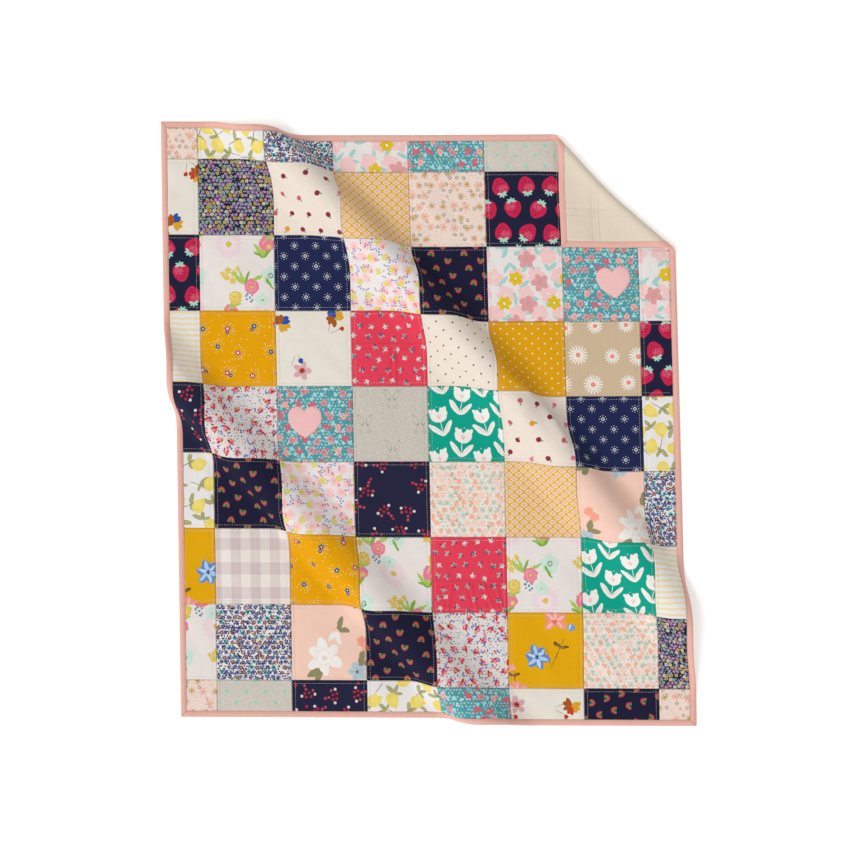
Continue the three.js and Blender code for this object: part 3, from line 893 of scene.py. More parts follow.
TULIP_GROUND = "0A9F88"
COTTONS = {
    "blush_meadow": design(
        "ECD8CC",
        repeat(
            7.5, 6.9,
            motif("F0C3B0", 1.5, petals=5, depth=0.3, pick=(0.3, 0.7)),
            motif("A9A698", 0.8, pick=(0, 0.2)),
            jitter=3,
        ),
        repeat(
            11.5, 10.4,
            motif("8C9083", 3.2, petals=4, depth=0.16, squash=(1.15, 0.95), hole=1.6, pick=(0, 0.34)),
            motif("D9A884", 3.0, petals=9, depth=0.8, pick=(0.34, 0.44)),
            spread=360, jitter=4,
        ),
        repeat(
            20, 18,
            flower("E9B5A0", 7.4, petals=6, depth=0.86, pick=(0, 0.4), centre="C99A5A", heart=0.14),
            fan("C89B58", (0, 0), (6.6,) * 9, round_leans(0, 9), slim=5.5, pick=(0.4, 0.76)),
            spread=360, jitter=4,
        ),
        waver=(1.2, 5),
    ),
    "lemon": design(
        "E9E6E4",
        repeat(
            36, 32,
            fan("A3A36C", (0, 0), (19, 16, 13), (-20, 46, 120), slim=2.6, soft=0.8),
            fan("C6C498", (0, 0), (19, 16, 13), (-20, 46, 120), slim=22),
            leaf("7A6450", 32, at=(-2, -6), lean=30, slim=30, pick=(0.1, 0.95)),
            spread=360, pick=(0, 0.86), jitter=8,
        ),
        repeat(
            38, 33,
            motif("EBD566", 12, squash=(1.14, 0.93), petals=3, depth=0.07),
            motif("EBD566", 4.6, at=(0, 11), squash=(1.4, 1)),
            motif("F0DF88", 6.5, at=(-3, 2), soft=6, strength=0.7),
            leaf("F6ECB4", 8, at=(6, 0), lean=8, slim=8, strength=0.4),
            spread=200, pick=(0, 0.93), jitter=8,
        ),
        waver=(2.4, 9),
    ),
    "blue_ditsy": design(
        "E4E1DF",
        repeat(
            4.6, 4.2,
            leaf("2A2B50", 4.8, slim=2.1, pick=(0, 0.56)),
            leaf("7479A6", 4.2, slim=2, pick=(0.56, 0.66)),
            spread=360, jitter=1.6,
        ),
        repeat(
            9.2, 8.3,
            flower("6670A2", 4.2, depth=0.36, pick=(0, 0.34), centre="23244A", heart=0.26),
            flower("454B80", 3.9, depth=0.4, pick=(0.34, 0.56), centre="C9CBE0", heart=0.2),
            flower("55A3A8", 4.2, depth=0.3, pick=(0.56, 0.74), centre="24466A", heart=0.34),
            flower("84566C", 4.2, depth=0.34, pick=(0.74, 0.9), centre="D9AE2E", heart=0.27),
            jitter=3.4,
        ),
        repeat(
            5.6, 5.1,
            leaf("1E2044", 3.6, slim=1.9, spread=360, pick=(0, 0.42)),
            leaf("E4E1DF", 3, slim=2, spread=360, pick=(0.42, 0.56)),
            motif("D9AE2E", 1.1, pick=(0.94, 1)),
            shift=0.4, jitter=2.6,
        ),
        waver=(2, 4),
    ),
    "pink_bloom": design(
        "E7E1DE",
        repeat(
            30, 27,
            fan("A6CFCA", (0, -9), (22, 20), (-20, 44), slim=3.2, pick=(0, 0.86)),
            leaf("A6CFCA", 24, at=(2, -4), slim=30, pick=(0.3, 1)),
            spread=360, jitter=4,
        ),
        repeat(
            36, 32,
            flower("F0C8C6", 15.5, depth=0.36, pick=(0, 0.86), centre="E7E1DE", heart=0.13),
            motif("F0C8C6", 12, squash=(0.8, 1.15), spread=90, pick=(0.5, 0.7)),
            jitter=5,
        ),
        repeat(
            42, 38,
            flower("DC9E9E", 15.5, depth=0.4, pick=(0, 0.44), centre="E9E3E0", heart=0.13),
            motif("C98A8C", 4.2, petals=8, depth=0.8, hole=0.8, pick=(0, 0.44)),
            flower("DFBE22", 12.6, petals=6, depth=0.34, pick=(0.44, 0.72), centre="F2ECD8", heart=0.17),
            motif("C7A21C", 4.4, petals=6, depth=0.7, hole=2.4, pick=(0.44, 0.72)),
            spread=360, shift=0.37, jitter=7,
        ),
        waver=(4.0, 10),
    ),
    "teal_floral": design(
        "549AA2",
        repeat(
            5.9, 5.4,
            leaf("9BD2D6", 5.2, slim=2.2, spread=360, pick=(0, 0.62)),
            motif("B4DEDF", 1.5, petals=5, depth=0.3, pick=(0.62, 0.76)),
            jitter=2,
        ),
        repeat(
            11.5, 10.2,
            motif("A5D8DA", 3.7, petals=3, depth=0.4, spread=360, pick=(0, 0.3)),
            cluster("EDEFEC", 1.4, [(0, 1.6), (2.2, -0.6), (-1.7, -1.3)], petals=5, depth=0.3,
                    spread=360, pick=(0.3, 0.5)),
            motif("B6B22C", 1.9, pick=(0.5, 0.58)),
            flower("DC6274", 2.5, pick=(0.58, 0.72)),
            jitter=4,
        ),
        repeat(
            22, 19.6,
            flower("E88A90", 5.9, depth=0.3, pick=(0, 0.28), centre="549AA2", heart=0.32),
            flower("F0AFA4", 5.6, depth=0.34, pick=(0.28, 0.5), centre="E88A90", heart=0.3),
            cluster("D75E72", 3.1, [(-1.6, -1), (3.8, 1.2), (-0.5, 4.2), (5.2, -3.4)], petals=5,
                    depth=0.3, pick=(0.5, 0.78)),
            motif("E88A90", 3.2, at=(7.4, 1), hole=1.5, pick=(0, 0.5)),
            spread=360, jitter=6,
        ),
        waver=(1.8, 5),
    ),
    "mint_dot": design(
        "CFC8BD",
        repeat(32.5, 17.6, motif("93D4BE", 3.2, petals=5, depth=0.16)),
        waver=(0.5, 4), heather=0.36,
    ),
    "folk_flower": design(
        "E7E0D5",
        repeat(
            88, 78,
            fan("55544A", (2, -24), (30,), (-14,), slim=40),
            leaf("55544A", 20, at=(12, -16), lean=42, slim=28),
            flower("D6A9B0", 16, at=(4, 5), depth=0.56, spread=200, pick=(0, 0.4), centre="C04A2A",
                   heart=0.3),
            motif("2C2622", 2, at=(4, 5), petals=6, depth=0.5),
            motif("2A54A4", 4.4, at=(0, -11), taper=-0.3, pick=(0, 0.4)),
            fan("DBA22A", (4, 3), (17, 16, 15), (-6, 26, 56), slim=1.8, pick=(0.4, 0.9)),
            fan("2A54A4", (3, 3), (17, 16), (-66, -36), slim=1.9, pick=(0.4, 0.66)),
            fan("C5452A", (4, 2), (15, 14), (88, 120), slim=1.9, pick=(0.66, 0.9)),
            fan("A8571C", (4, 2), (15, 14, 13), (-104, -140, 166), slim=1.7, pick=(0.4, 0.9)),
            motif("C5391F", 3.8, at=(20, -8), taper=-0.3, pick=(0.2, 0.9)),
            spread=200, pick=(0, 0.9), jitter=16,
        ),
        waver=(3.0, 9),
    ),
    "purple_ditsy": design(
        "22253A",
        repeat(
            4.3, 3.9,
            motif("8A9A98", 1.3, petals=4, depth=0.34, pick=(0, 0.36)),
            motif("7E7798", 1.3, petals=5, depth=0.34, pick=(0.36, 0.56)),
            spread=360, jitter=1.6,
        ),
        repeat(
            7.0, 6.3,
            flower("98A99C", 3.0, petals=6, depth=0.24, pick=(0, 0.24), centre="56666A", heart=0.34),
            flower("8A80A8", 3.1, depth=0.34, pick=(0.24, 0.42), centre="C9C3DC", heart=0.24),
            flower("A8709C", 3.1, depth=0.34, pick=(0.42, 0.64), centre="DDBFD6", heart=0.24),
            flower("C8A850", 3.1, petals=6, depth=0.22, pick=(0.64, 0.77), centre="6A5A3A", heart=0.36),
            flower("D8CCA8", 3.1, petals=6, depth=0.22, pick=(0.77, 0.9), centre="8A8468", heart=0.34),
            jitter=2.8,
        ),
        repeat(
            6.3, 5.7,
            motif("9AAAA4", 1.1, pick=(0, 0.2)),
            motif("B9A9C4", 1.2, petals=5, depth=0.2, pick=(0.2, 0.3)),
            shift=0.35, jitter=3,
        ),
        waver=(1.4, 4),
    ),
    "orchard_fruit": design(
        "E9DDD0",
        repeat(
            36, 32,
            leaf("6E9C94", 4.4, at=(2.2, 5.8), lean=52, slim=1.7, spread=200),
            motif("8B3036", 4.5, squash=(1, 1.06), spread=360, pick=(0, 0.34)),
            motif("E5719A", 4.2, pick=(0.34, 0.56)),
            motif("C9606A", 4.4, squash=(1.12, 0.96), spread=360, pick=(0.56, 0.78)),
            motif("DC9A2C", 4.3, pick=(0.78, 1)),
            jitter=12,
        ),
        heather=0.14,
    ),
    "mustard_lattice": design("DFA93C", diamonds(0), diamonds(0.5), waver=(0.9, 5)),
    "strawberry_navy": design(
        "1E2039",
        repeat(42, 78, strawberry(-20), stagger=0, jitter=5),
        repeat(42, 78, strawberry(160), stagger=0, shift=0.5, jitter=5),
        waver=(1.6, 8),
    ),
    "watercolour_floral": design(
        "E8E1DC",
        repeat(
            124, 114,
            motif("EBD5D9", 24, at=(28, 20), petals=17, depth=0.2, soft=3),
            motif("EFE2E2", 13, at=(28, 20), petals=15, depth=0.3, soft=3, strength=0.6),
            motif("DDBE58", 4.8, at=(28, 20), petals=4, depth=0.08, soft=1.2),
            fan("A9C65E", (-36, -2), (30, 33, 26), (-38, -12, 20), slim=5.4, soft=1),
            fan("84AE3E", (-36, -2), (20, 24), (-60, 34), slim=4.4, soft=1),
            motif("E87F96", 13.5, at=(-32, 22), petals=3, depth=0.12, taper=-0.12, soft=1.2),
            leaf("F3B3BE", 12, at=(-36, 25), lean=20, slim=5, soft=1.4, strength=0.8),
            motif("E2C96A", 4, at=(-28, 17), taper=-0.3, soft=1),
            motif("CCE2D5", 17, at=(-26, -32), petals=5, depth=0.22, soft=2),
            motif("3F8AA8", 4.6, at=(-26, -32), hole=3, soft=0.8),
            motif("D9D070", 2.6, at=(-26, -32)),
            cluster("DFC25A", 6.2, [(26, -24), (36, -29), (24, -35), (34, -41)], petals=5, depth=0.36,
                    soft=1),
            cluster("DFC25A", 4.6, [(43, -21), (44, -38), (17, -29)], petals=4, depth=0.4, soft=1),
            cluster("2F86A5", 1.8, [(-4, 42), (0, 45), (-6, 48), (5, 41), (2, 38), (-3, 51), (5, 49)]),
        ),
        repeat(
            124, 114,
            fan("A9C65E", (-8, 10), (30, 26, 34), (-46, -20, 64), slim=5.4, soft=1),
            fan("84AE3E", (-8, 10), (24,), (20,), slim=4, soft=1),
            fan("A9C65E", (-34, -30), (26, 22), (28, 66), slim=5, soft=1),
            leaf("84AE3E", 24, at=(34, 12), lean=-30, slim=5, soft=1),
            motif("E87F96", 13, at=(4, 6), petals=6, depth=0.12, soft=1.4),
            motif("F0A0B0", 8.4, at=(4, 6), hole=6.4, soft=1.4),
            motif("DDBE58", 2.8, at=(4, 6), soft=1),
            motif("DFC25A", 11.5, at=(-24, -12), petals=6, depth=0.07, soft=1),
            motif("EEDD9C", 6, at=(-25, -11), hole=4.4, soft=1, strength=0.8),
            motif("CCE2D5", 12, at=(22, -16), petals=5, depth=0.2, soft=2),
            leaf("9DB84E", 5, at=(22, -16), lean=60, slim=2),
            shift=0.5,
        ),
        waver=(5.0, 9),
    ),
    "navy_medallion": design("1F274E", medallions(0), medallions(0.5), waver=(0.5, 5)),
    "confetti_floral": design(
        "E9E4E3",
        repeat(
            23, 20,
            motif("F6C9C6", 9, petals=7, depth=0.2, soft=5, spread=360, pick=(0, 0.75)),
            motif("F09C9C", 2.6, soft=3, pick=(0, 0.5), strength=0.6),
            jitter=6,
        ),
        repeat(
            30, 26,
            cluster("5E76BE", 1.35, [
                (8, 3), (10, -1), (7.4, -4.5), (10.5, -6.5), (5, 8), (9, 7.4), (2, 9.8), (-2, -9),
                (2, -10.5), (12.6, 3.2)]),
            spread=360, pick=(0, 0.86), jitter=5,
        ),
        repeat(
            27, 23.6,
            cluster("E1D660", 2.3, [(0, 3.6), (3.7, 1.2), (2.3, -3.2), (-2.3, -3.2), (-3.7, 1.2)]),
            motif("C3B44A", 0.9),
            spread=360, pick=(0, 0.74), jitter=5,
        ),
        repeat(
            21, 19,
            leaf("F2938E", 6.6, slim=1.6, pick=(0, 0.4)),
            leaf("A9B79A", 5, slim=3, pick=(0.4, 0.7)),
            spread=360, shift=0.45, jitter=5,
        ),
        waver=(2.0, 6),
    ),
    "navy_rainbow": design(
        "1C1C36",
        repeat(55, 25, rainbow(0), stagger=0.14),
        repeat(55, 25, rainbow(180), stagger=0.14, shift=0.5),
    ),
    "cream_stripe": design(
        "E9E5E1",
        repeat(900, 9.4, motif("EBD28C", 1.35, squash=(0, 1), soft=1.3), stagger=0),
        waver=(2.6, 7),
    ),
    "mustard_sprig": design(
        "E5A202",
        repeat(8.5, 7.7, motif("F3E3B4", 0.75, pick=(0, 0.16)), jitter=6),
        repeat(
            43, 38,
            cluster("F3E6C0", 0.72, [
                (3, 9), (6, 7), (10, 4), (8, 10), (-2, 11), (-7, 8), (11, -2), (-10, 2), (-8, -6),
                (3, -9), (13, 7)]),
            fan("86B39A", (0, 0), (7, 7, 7), (-20, 70, 190), slim=2.3),
            flower("C63E50", 4.8, depth=0.3, pick=(0, 0.5), centre="F2DCD2", heart=0.42),
            flower("383E70", 4.3, depth=0.34, pick=(0.5, 1), centre="F4EEE0", heart=0.3),
            motif("454B7C", 3.4, at=(6.5, -3), petals=5, depth=0.34, pick=(0.25, 0.7)),
            motif("F0E0D0", 0.9, at=(6.5, -3), pick=(0.25, 0.7)),
            spread=360, jitter=13,
        ),
    ),
    "coral_posy": design(
        "E34058",
        repeat(
            21.5, 18.5,
            fan("8FB9AC", (0, 1), (6.4, 6, 5), (-60, 20, 84), slim=2.3),
            cluster("F2ECE6", 1.4, [(0, 1.5), (1.7, -0.8), (-1.5, -1.1), (-2.2, 1.7)], petals=4,
                    depth=0.3, pick=(0, 0.42)),
            motif("C6384E", 0.7, pick=(0, 0.42)),
            flower("2E3360", 3.1, depth=0.24, pick=(0.42, 0.8), centre="F0C0C4", heart=0.3),
            leaf("2E3360", 4.6, at=(1, -2), slim=2.4, pick=(0.8, 1)),
            spread=360, jitter=7,
        ),
        repeat(15, 13.4, motif("9A2A40", 0.7, pick=(0, 0.35)), jitter=7),
    ),
    "cream_dot": design("EADFD1", repeat(26.8, 13.4, motif("2E2826", 1.5, soft=0.7)), waver=(0.3, 4)),
    "mustard_pin_dot": design("DDA010", repeat(21, 8.4, motif("F0E2BE", 1.45)), waver=(0.3, 4)),
    "tan_daisy": design(
        "CDB698",
        repeat(
            52, 47,
            flower("EFEAE1", 17, petals=17, depth=0.8, pick=(0, 0.52), centre="EC8F7C", heart=0.25),
            flower("EFEAE1", 13.4, petals=15, depth=0.78, pick=(0.52, 0.94), centre="EC8F7C",
                   heart=0.28),
            jitter=15,
        ),
        waver=(1.6, 7),
    ),
    "navy_cherry_blossom": design(
        "23243E",
        repeat(
            44, 38,
            cluster("B42A3A", 2.6, [(0, 0), (6.2, 4.4), (-6, 3.8), (1.2, 8.6)], petals=5, depth=0.44,
                    pick=(0, 0.92)),
            cluster("C4485C", 2.6, [(-4.4, -6.6), (7.4, -3), (12, -7.4)], petals=5, depth=0.44,
                    pick=(0, 0.6)),
            cluster("E6E4DE", 2.6, [(8.6, 10.4), (-10, -2.4)], petals=5, depth=0.44),
            cluster("8A8A9A", 0.6, [(8.6, 10.4), (-10, -2.4)]),
            spread=360, pick=(0, 0.85), jitter=12,
        ),
        repeat(
            36, 31,
            motif("B42A3A", 2.7, petals=5, depth=0.44, spread=360, pick=(0, 0.3)),
            shift=0.4, jitter=12,
        ),
    ),
    "red_blue_floral": design(
        "DFDAD6",
        repeat(
            5.6, 5.1,
            leaf("2A2E55", 2.8, slim=2, pick=(0, 0.3)),
            motif("5A74C0", 1.3, squash=(1, 1.2), pick=(0.3, 0.44)),
            leaf("B9C2D8", 4, slim=2, pick=(0.44, 0.6)),
            leaf("EFA29A", 2.6, slim=1.6, pick=(0.6, 0.74)),
            spread=360, jitter=2.6,
        ),
        repeat(
            21, 18.6,
            flower("EC8884", 5.6),
            fan("BF2440", (-1, -1.5), (7.4, 6.4, 5), (-40, 24, 150), slim=2.1),
            motif("EDE9E6", 1.3, at=(0.6, 0.6)),
            motif("2A2E55", 0.7, at=(0.6, 0.6)),
            spread=360, pick=(0, 0.8), jitter=6,
        ),
        repeat(
            17, 15,
            flower("EC9A94", 3, depth=0.4, pick=(0, 0.56)),
            leaf("BF2440", 4.4, at=(1, 1), slim=2.2, pick=(0, 0.8)),
            cluster("4466BE", 1.7, [(5, 2), (7.2, -1.2)], pick=(0.2, 0.9)),
            leaf("2A2E55", 5, at=(-5, -1), slim=3, pick=(0.1, 0.7)),
            spread=360, shift=0.5, jitter=6,
        ),
        waver=(2.0, 5),
    ),
    "grey_bunny": design("C9C3B8", rabbits(0), rabbits(0.5), waver=(1.6, 7), heather=0.5),
    "green_tulip": design(TULIP_GROUND, tulips(0, 8), tulips(0.5, -14), waver=(2.6, 12)),
    "peach_sage_ditsy": design(
        "EDE2DA",
        repeat(
            6.6, 6,
            leaf("C9CFC0", 5, slim=1.8, spread=360, pick=(0, 0.46)),
            leaf("ADB598", 4.2, slim=2.1, spread=360, pick=(0.46, 0.58)),
            motif("F3CCBC", 1.7, petals=5, depth=0.3, pick=(0.58, 0.82)),
            jitter=2.2,
        ),
        repeat(
            13, 11.6,
            motif("F3CFC1", 5.2, petals=6, depth=0.26, soft=1, pick=(0, 0.34)),
            flower("CAD1C3", 5.2, petals=7, depth=0.44, pick=(0.34, 0.68), centre="A9B298", heart=0.26),
            motif("F1B598", 4.6, petals=5, depth=0.3, squash=(0.85, 1.15), soft=0.8, pick=(0.68, 0.96)),
            spread=360, jitter=4,
        ),
        repeat(
            12.2, 11,
            motif("F1B598", 2.6, petals=5, depth=0.3, pick=(0, 0.3)),
            motif("B4BC9E", 2.8, petals=3, depth=0.34, pick=(0.3, 0.56)),
            spread=360, shift=0.4, jitter=4,
        ),
        waver=(2.8, 5),
    ),
    "peach_bouquet": design(
        "F2CCBA",
        repeat(
            142, 130,
            fan("8F8A66", (-30, -2), (26, 24, 22), (-120, -160, 196), slim=2.3, soft=0.9),
            fan("F0ECE6", (-24, 18), (34, 30, 34, 30, 32, 30), (-10, 50, 112, 176, 236, 300), slim=1.9,
                soft=1),
            motif("E2D9D0", 15, at=(-24, 18), petals=7, depth=0.3, hole=11, soft=3, strength=0.6),
            motif("F3EEE8", 12.5, at=(-24, 18), petals=6, depth=0.2, soft=2),
            motif("E3D3BC", 4, at=(-23, 17), petals=5, depth=0.3, soft=2),
            fan("8F8A66", (36, 8), (24, 24, 22), (20, 84, 170), slim=2.3, soft=0.9),
            fan("B2C7CE", (32, -6), (17, 16, 17, 16, 16), round_leans(-20, 5), slim=1.35, soft=0.9),
            fan("90A9B4", (32, -6), (11,) * 5, round_leans(-20, 5), slim=5, soft=1.6, strength=0.5),
            motif("7A5A48", 3, at=(32, -6), petals=6, depth=0.5),
            cluster("F0A590", 9, [(50, 36), (40, 45)], petals=6, depth=0.16, soft=1.2),
            cluster("E98A76", 5, [(50, 36), (40, 45)], hole=3, soft=1.4, strength=0.6),
        ),
        repeat(
            142, 130,
            fan("8F8A66", (0, 0), (24, 20), (20, 100), slim=2.3, soft=0.9),
            fan("F0ECE6", (-4, -4), (22, 20), (160, 216), slim=2.4, soft=1),
            shift=0.5,
        ),
        waver=(5, 10),
    ),
    "mauve_gingham": design(
        "EDE4DC",
        repeat(33, 900, motif("8A4A76", 8.4, squash=(1, 0), soft=1.2, strength=0.2), stagger=0),
        repeat(900, 41, motif("8A4A76", 10, squash=(0, 1), soft=1.2, strength=0.2), stagger=0),
        waver=(0.6, 8),
    ),
    "mustard_botanical": design(
        "E2A708",
        repeat(
            132, 120,
            fan("54412C", (-2, -32), (56, 36), (24, -14), slim=52),
            fan("54412C", (14, 2), (15, 14), (-50, 84), slim=2.4),
            fan("C9952A", (14, 2), (12, 11), (-50, 84), slim=9),
            fan("5B8AC6", (-26, -14), (22, 20, 22, 21, 22, 20), round_leans(-20, 6), slim=1.55,
                soft=1.4),
            fan("BBD6EE", (-26, -14), (20, 19, 20), round_leans(-14, 3), slim=3, soft=2, strength=0.85),
            fan("D3E4F2", (-26, -14), (18, 19, 18), round_leans(46, 3), slim=3.4, soft=2, strength=0.8),
            motif("1F4690", 4.4, at=(-26, -14), petals=6, depth=0.6, soft=1.2),
            motif("6E9CD0", 7, at=(32, 36), petals=4, depth=0.2, taper=-0.2, soft=1),
            leaf("DCE9F2", 9, at=(30, 37), lean=20, slim=4, soft=1),
        ),
        repeat(
            132, 120,
            fan("54412C", (6, -10), (40,), (-12,), slim=44),
            fan("54412C", (-1, 14), (13, 13), (-60, 66), slim=2.4),
            fan("C9952A", (-1, 14), (10, 10), (-60, 66), slim=9),
            fan("EF9584", (5, -14), (21, 20, 20, 20, 20), (-50, 0, 54, 118, 236), slim=1.5, soft=1.2),
            fan("F8C8B6", (5, -14), (18, 17, 17, 17, 17), (-44, 6, 60, 124, 230), slim=4, soft=2,
                strength=0.8),
            motif("E06A62", 5, at=(5, -15), petals=7, depth=0.4, soft=1.6),
            motif("F0A694", 5.4, at=(-3, 29), taper=-0.25, soft=0.8),
            shift=0.5,
        ),
        waver=(4.0, 9),
    ),
}

# Which cotton each square is cut from, by row from the top and from left to right.
LAYOUT = (
    "blush_meadow lemon blue_ditsy pink_bloom "
    "teal_floral mint_dot cream_dot mustard_pin_dot",
    "folk_flower purple_ditsy orchard_fruit mustard_lattice "
    "blush_meadow strawberry_navy mauve_gingham cream_stripe",
    "strawberry_navy watercolour_floral navy_medallion confetti_floral "
    "navy_rainbow pink_bloom teal_floral pink_bloom",
    "cream_stripe mustard_sprig folk_flower coral_posy "
    "cream_dot mustard_pin_dot tan_daisy strawberry_navy",
    "navy_cherry_blossom red_blue_floral teal_floral grey_bunny "
    "green_tulip orchard_fruit navy_medallion lemon",
    "lemon navy_rainbow confetti_floral navy_cherry_blossom "
    "peach_sage_ditsy mustard_lattice peach_bouquet blue_ditsy",
    "mustard_botanical mauve_gingham mustard_sprig watercolour_floral "
    "coral_posy watercolour_floral green_tulip cream_stripe",
    "watercolour_floral blue_ditsy peach_bouquet navy_rainbow "
    "red_blue_floral mustard_botanical peach_sage_ditsy purple_ditsy",
    "blush_meadow mint_dot navy_cherry_blossom lemon "
    "teal_floral folk_flower navy_rainbow blush_meadow",
)
# Squares whose print doesn't run up the quilt: row, column and turn in degrees.
TURNED = {(8, 6): 90, (3, 4): 5}


def printed_cotton(name):
    """A printed cotton, made the first time that it is asked for."""
    label = "Printed cotton, " + name.replace("_", " ")
    return bpy.data.materials.get(label) or new_cotton(label, **COTTONS[name])


# ---- Pieces ------------------------------------------------------------------------

# Mesh lines in from a seam and from the quilt's edge, in mm, close together where the
# relief is finest. The first step leaves a hair's gap between two squares.
SEAM_STEPS = (0.15, 1.0, 2.2, 3.8, 5.5, 7.2, 9.5)
EDGE_STEPS = (1.5, 6, 10.8, 11.6, 12.6, 14.2, 17)
# Between those, the spacing in a square, in one with small folds, and in the backing.
SQUARE_SPACING = 4.6
FINE_SPACING = 2.2
TUCKED_SQUARES = ((3, 3), (6, 4))
BACKING_SPACING = 8.5
FLAP_SPACING = 4.0
FLAP_STRIPS = 3
# How far each square's print may be shifted from its neighbours', in metres.
PRINT_SHIFT = 0.05


def stations(low, high, low_steps, high_steps, spacing):
    """Places from low to high: the steps in from each end, in mm, and even ones between."""
    lower = [low + step * MM for step in low_steps]
    upper = [high - step * MM for step in reversed(high_steps)]
    count = max(int(round((upper[0] - lower[-1]) / (spacing * MM))), 1)
    between = np.linspace(lower[-1], upper[0], count + 1)[1:-1]
    return lower + list(between) + upper


def seam_places(count, half):
    """The seams and the two edges, in order."""
    patch = sizes().patch
    return [-half] + [(i - count / 2) * patch for i in range(count + 1)] + [half]


def square_stations(places, index, spacing):
    first, last = index == 0, index == len(places) - 2
    return stations(places[index], places[index + 1], EDGE_STEPS if first else SEAM_STEPS,
                    EDGE_STEPS if last else SEAM_STEPS, spacing)


def turned(x, y, angle):
    return (x * math.cos(angle) - y * math.sin(angle), x * math.sin(angle) + y * math.cos(angle))


class QUILT_OT_squares(Operator):
    """Pieced top: a sheet for each square and part square of printed cotton"""

    bl_idname = "quilt.squares"
    bl_label = "Pieced squares"

    def execute(self, context):
        s = sizes()
        across = seam_places(s.columns, half_width())
        along = seam_places(s.rows, half_length())[::-1]
        for row, names in enumerate(LAYOUT):
            for column, name in enumerate(names.split()):
                self.make_square(name, row, column, across, along)
        return {"FINISHED"}

    def make_square(self, name, row, column, across, along):
        spacing = FINE_SPACING if (row, column) in TUCKED_SQUARES else SQUARE_SPACING
        columns = square_stations(across, column, spacing)
        rows = square_stations(along[::-1], len(along) - 2 - row, spacing)
        mesh, u, v, upper = flat_sheet(f"square_{row}_{column}", columns, rows)
        turn = math.radians(TURNED.get((row, column), 0))
        shift = np.random.default_rng(100 * row + column).uniform(-PRINT_SHIFT, PRINT_SHIFT, 2)
        write_cloth_map(mesh, *turned(u + shift[0], v + shift[1], turn))
        height = np.where(upper, top_height(u, v), TOP_UNDERSIDE)
        lay_points(mesh, u, v, height)
        square = add_piece(mesh, printed_cotton(name), "pieced_cotton", "patchwork_top")


class QUILT_OT_backing(Operator):
    """Plain cotton backing, one sheet, drawn in along the lines of stitches"""

    bl_idname = "quilt.backing"
    bl_label = "Backing"

    def execute(self, context):
        s = sizes()
        axes = []
        for count, half in ((s.columns, half_width()), (s.rows, half_length())):
            places = seam_places(count, half)
            axis = []
            for index in range(len(places) - 1):
                spacing = FLAP_SPACING if index > len(places) - 1 - FLAP_STRIPS else BACKING_SPACING
                axis += square_stations(places, index, spacing)
            axes.append(axis)
        mesh, u, v, upper = flat_sheet("backing_cloth", *axes)
        write_cloth_map(mesh, u, v)
        height = np.where(upper, BACKING_UPPER, back_height(u, v))
        lay_points(mesh, u, v, height)
        backing = add_piece(mesh, plain_cotton("backing"), "backing_cotton", "quilt_backing")
        return {"FINISHED"}


# The undyed cotton is a warm cream with faint crinkles, and the two pinks are even and
# matt. The spun thread is a shade darker than white, so it shows on dark and pale squares.
PLAIN_COTTONS = {
    "backing": "Plain cotton, undyed", "binding": "Plain cotton, dusty rose",
    "heart": "Plain cotton, soft pink", "thread": "Cotton thread, spun",
}


def plain_cotton(part):
    """The plain dyed cottons and the thread, each made the first time it is asked for."""
    label = PLAIN_COTTONS[part]
    return bpy.data.materials.get(label) or new_cotton(label, list(getattr(colours(), part)))


# The binding's section from its upper hem round the edge to its lower hem: how far in
# from the edge and how high, in mm, on its outer and inner faces.
BINDING_OUTER = (
    (11.0, 1.6), (10.8, 2.1), (10.3, 2.4), (9.6, 2.55), (8.8, 2.7), (7.2, 2.95),
    (5.0, 2.95), (3.0, 2.65), (1.4, 1.9), (0.5, 0.6), (0.5, -0.5), (1.0, -1.3),
    (2.2, -1.75), (4.6, -1.9), (7.4, -1.9), (9.6, -1.88), (10.4, -1.82), (11.0, -1.55),
)
BINDING_INNER = (
    (10.9, 1.25), (10.6, 1.3), (10.1, 1.35), (9.4, 1.35), (8.6, 1.35), (7.0, 1.35),
    (5.0, 1.35), (3.2, 1.3), (1.8, 1.1), (1.1, 0.4), (1.1, -0.3), (1.5, -0.8),
    (2.4, -1.1), (4.6, -1.15), (7.4, -1.15), (9.4, -1.15), (10.2, -1.15), (10.9, -1.15),
)
# The strips run clockwise. Each side's numbers say which way is out, across and along.
BINDING_SIDES = {"top": (0, 1), "right": (1, 0), "bottom": (0, -1), "left": (-1, 0)}
MITRE_SETBACK = 0.22 * MM
BINDING_UPPER_ROWS = 9
BINDING_BOTTOM = -1.88
HEM_STITCH = 9.6 * MM
STRIP_STEP = 1.9
STRIP_ROW = 1.8
# The turned hem, in mm: ribs where each stitch draws it in, soft swells, and the stitched line.
HEM_RIBS = dict(height=0.5, pitches=0.75, across=14)
HEM_SWELLS = dict(height=0.3, length=26)
HEM_TROUGH = dict(depth=0.45, width=0.8)
HEM_CROWN = 0.7


def binding_place(side, along, inset):
    """A place on one side's binding as u and v."""
    out_u, out_v = BINDING_SIDES[side]
    out = (half_width() if out_u else half_length()) - inset
    return out_u * out + out_v * along, out_v * out - out_u * along


def binding_run(side):
    return half_length() if BINDING_SIDES[side][0] else half_width()


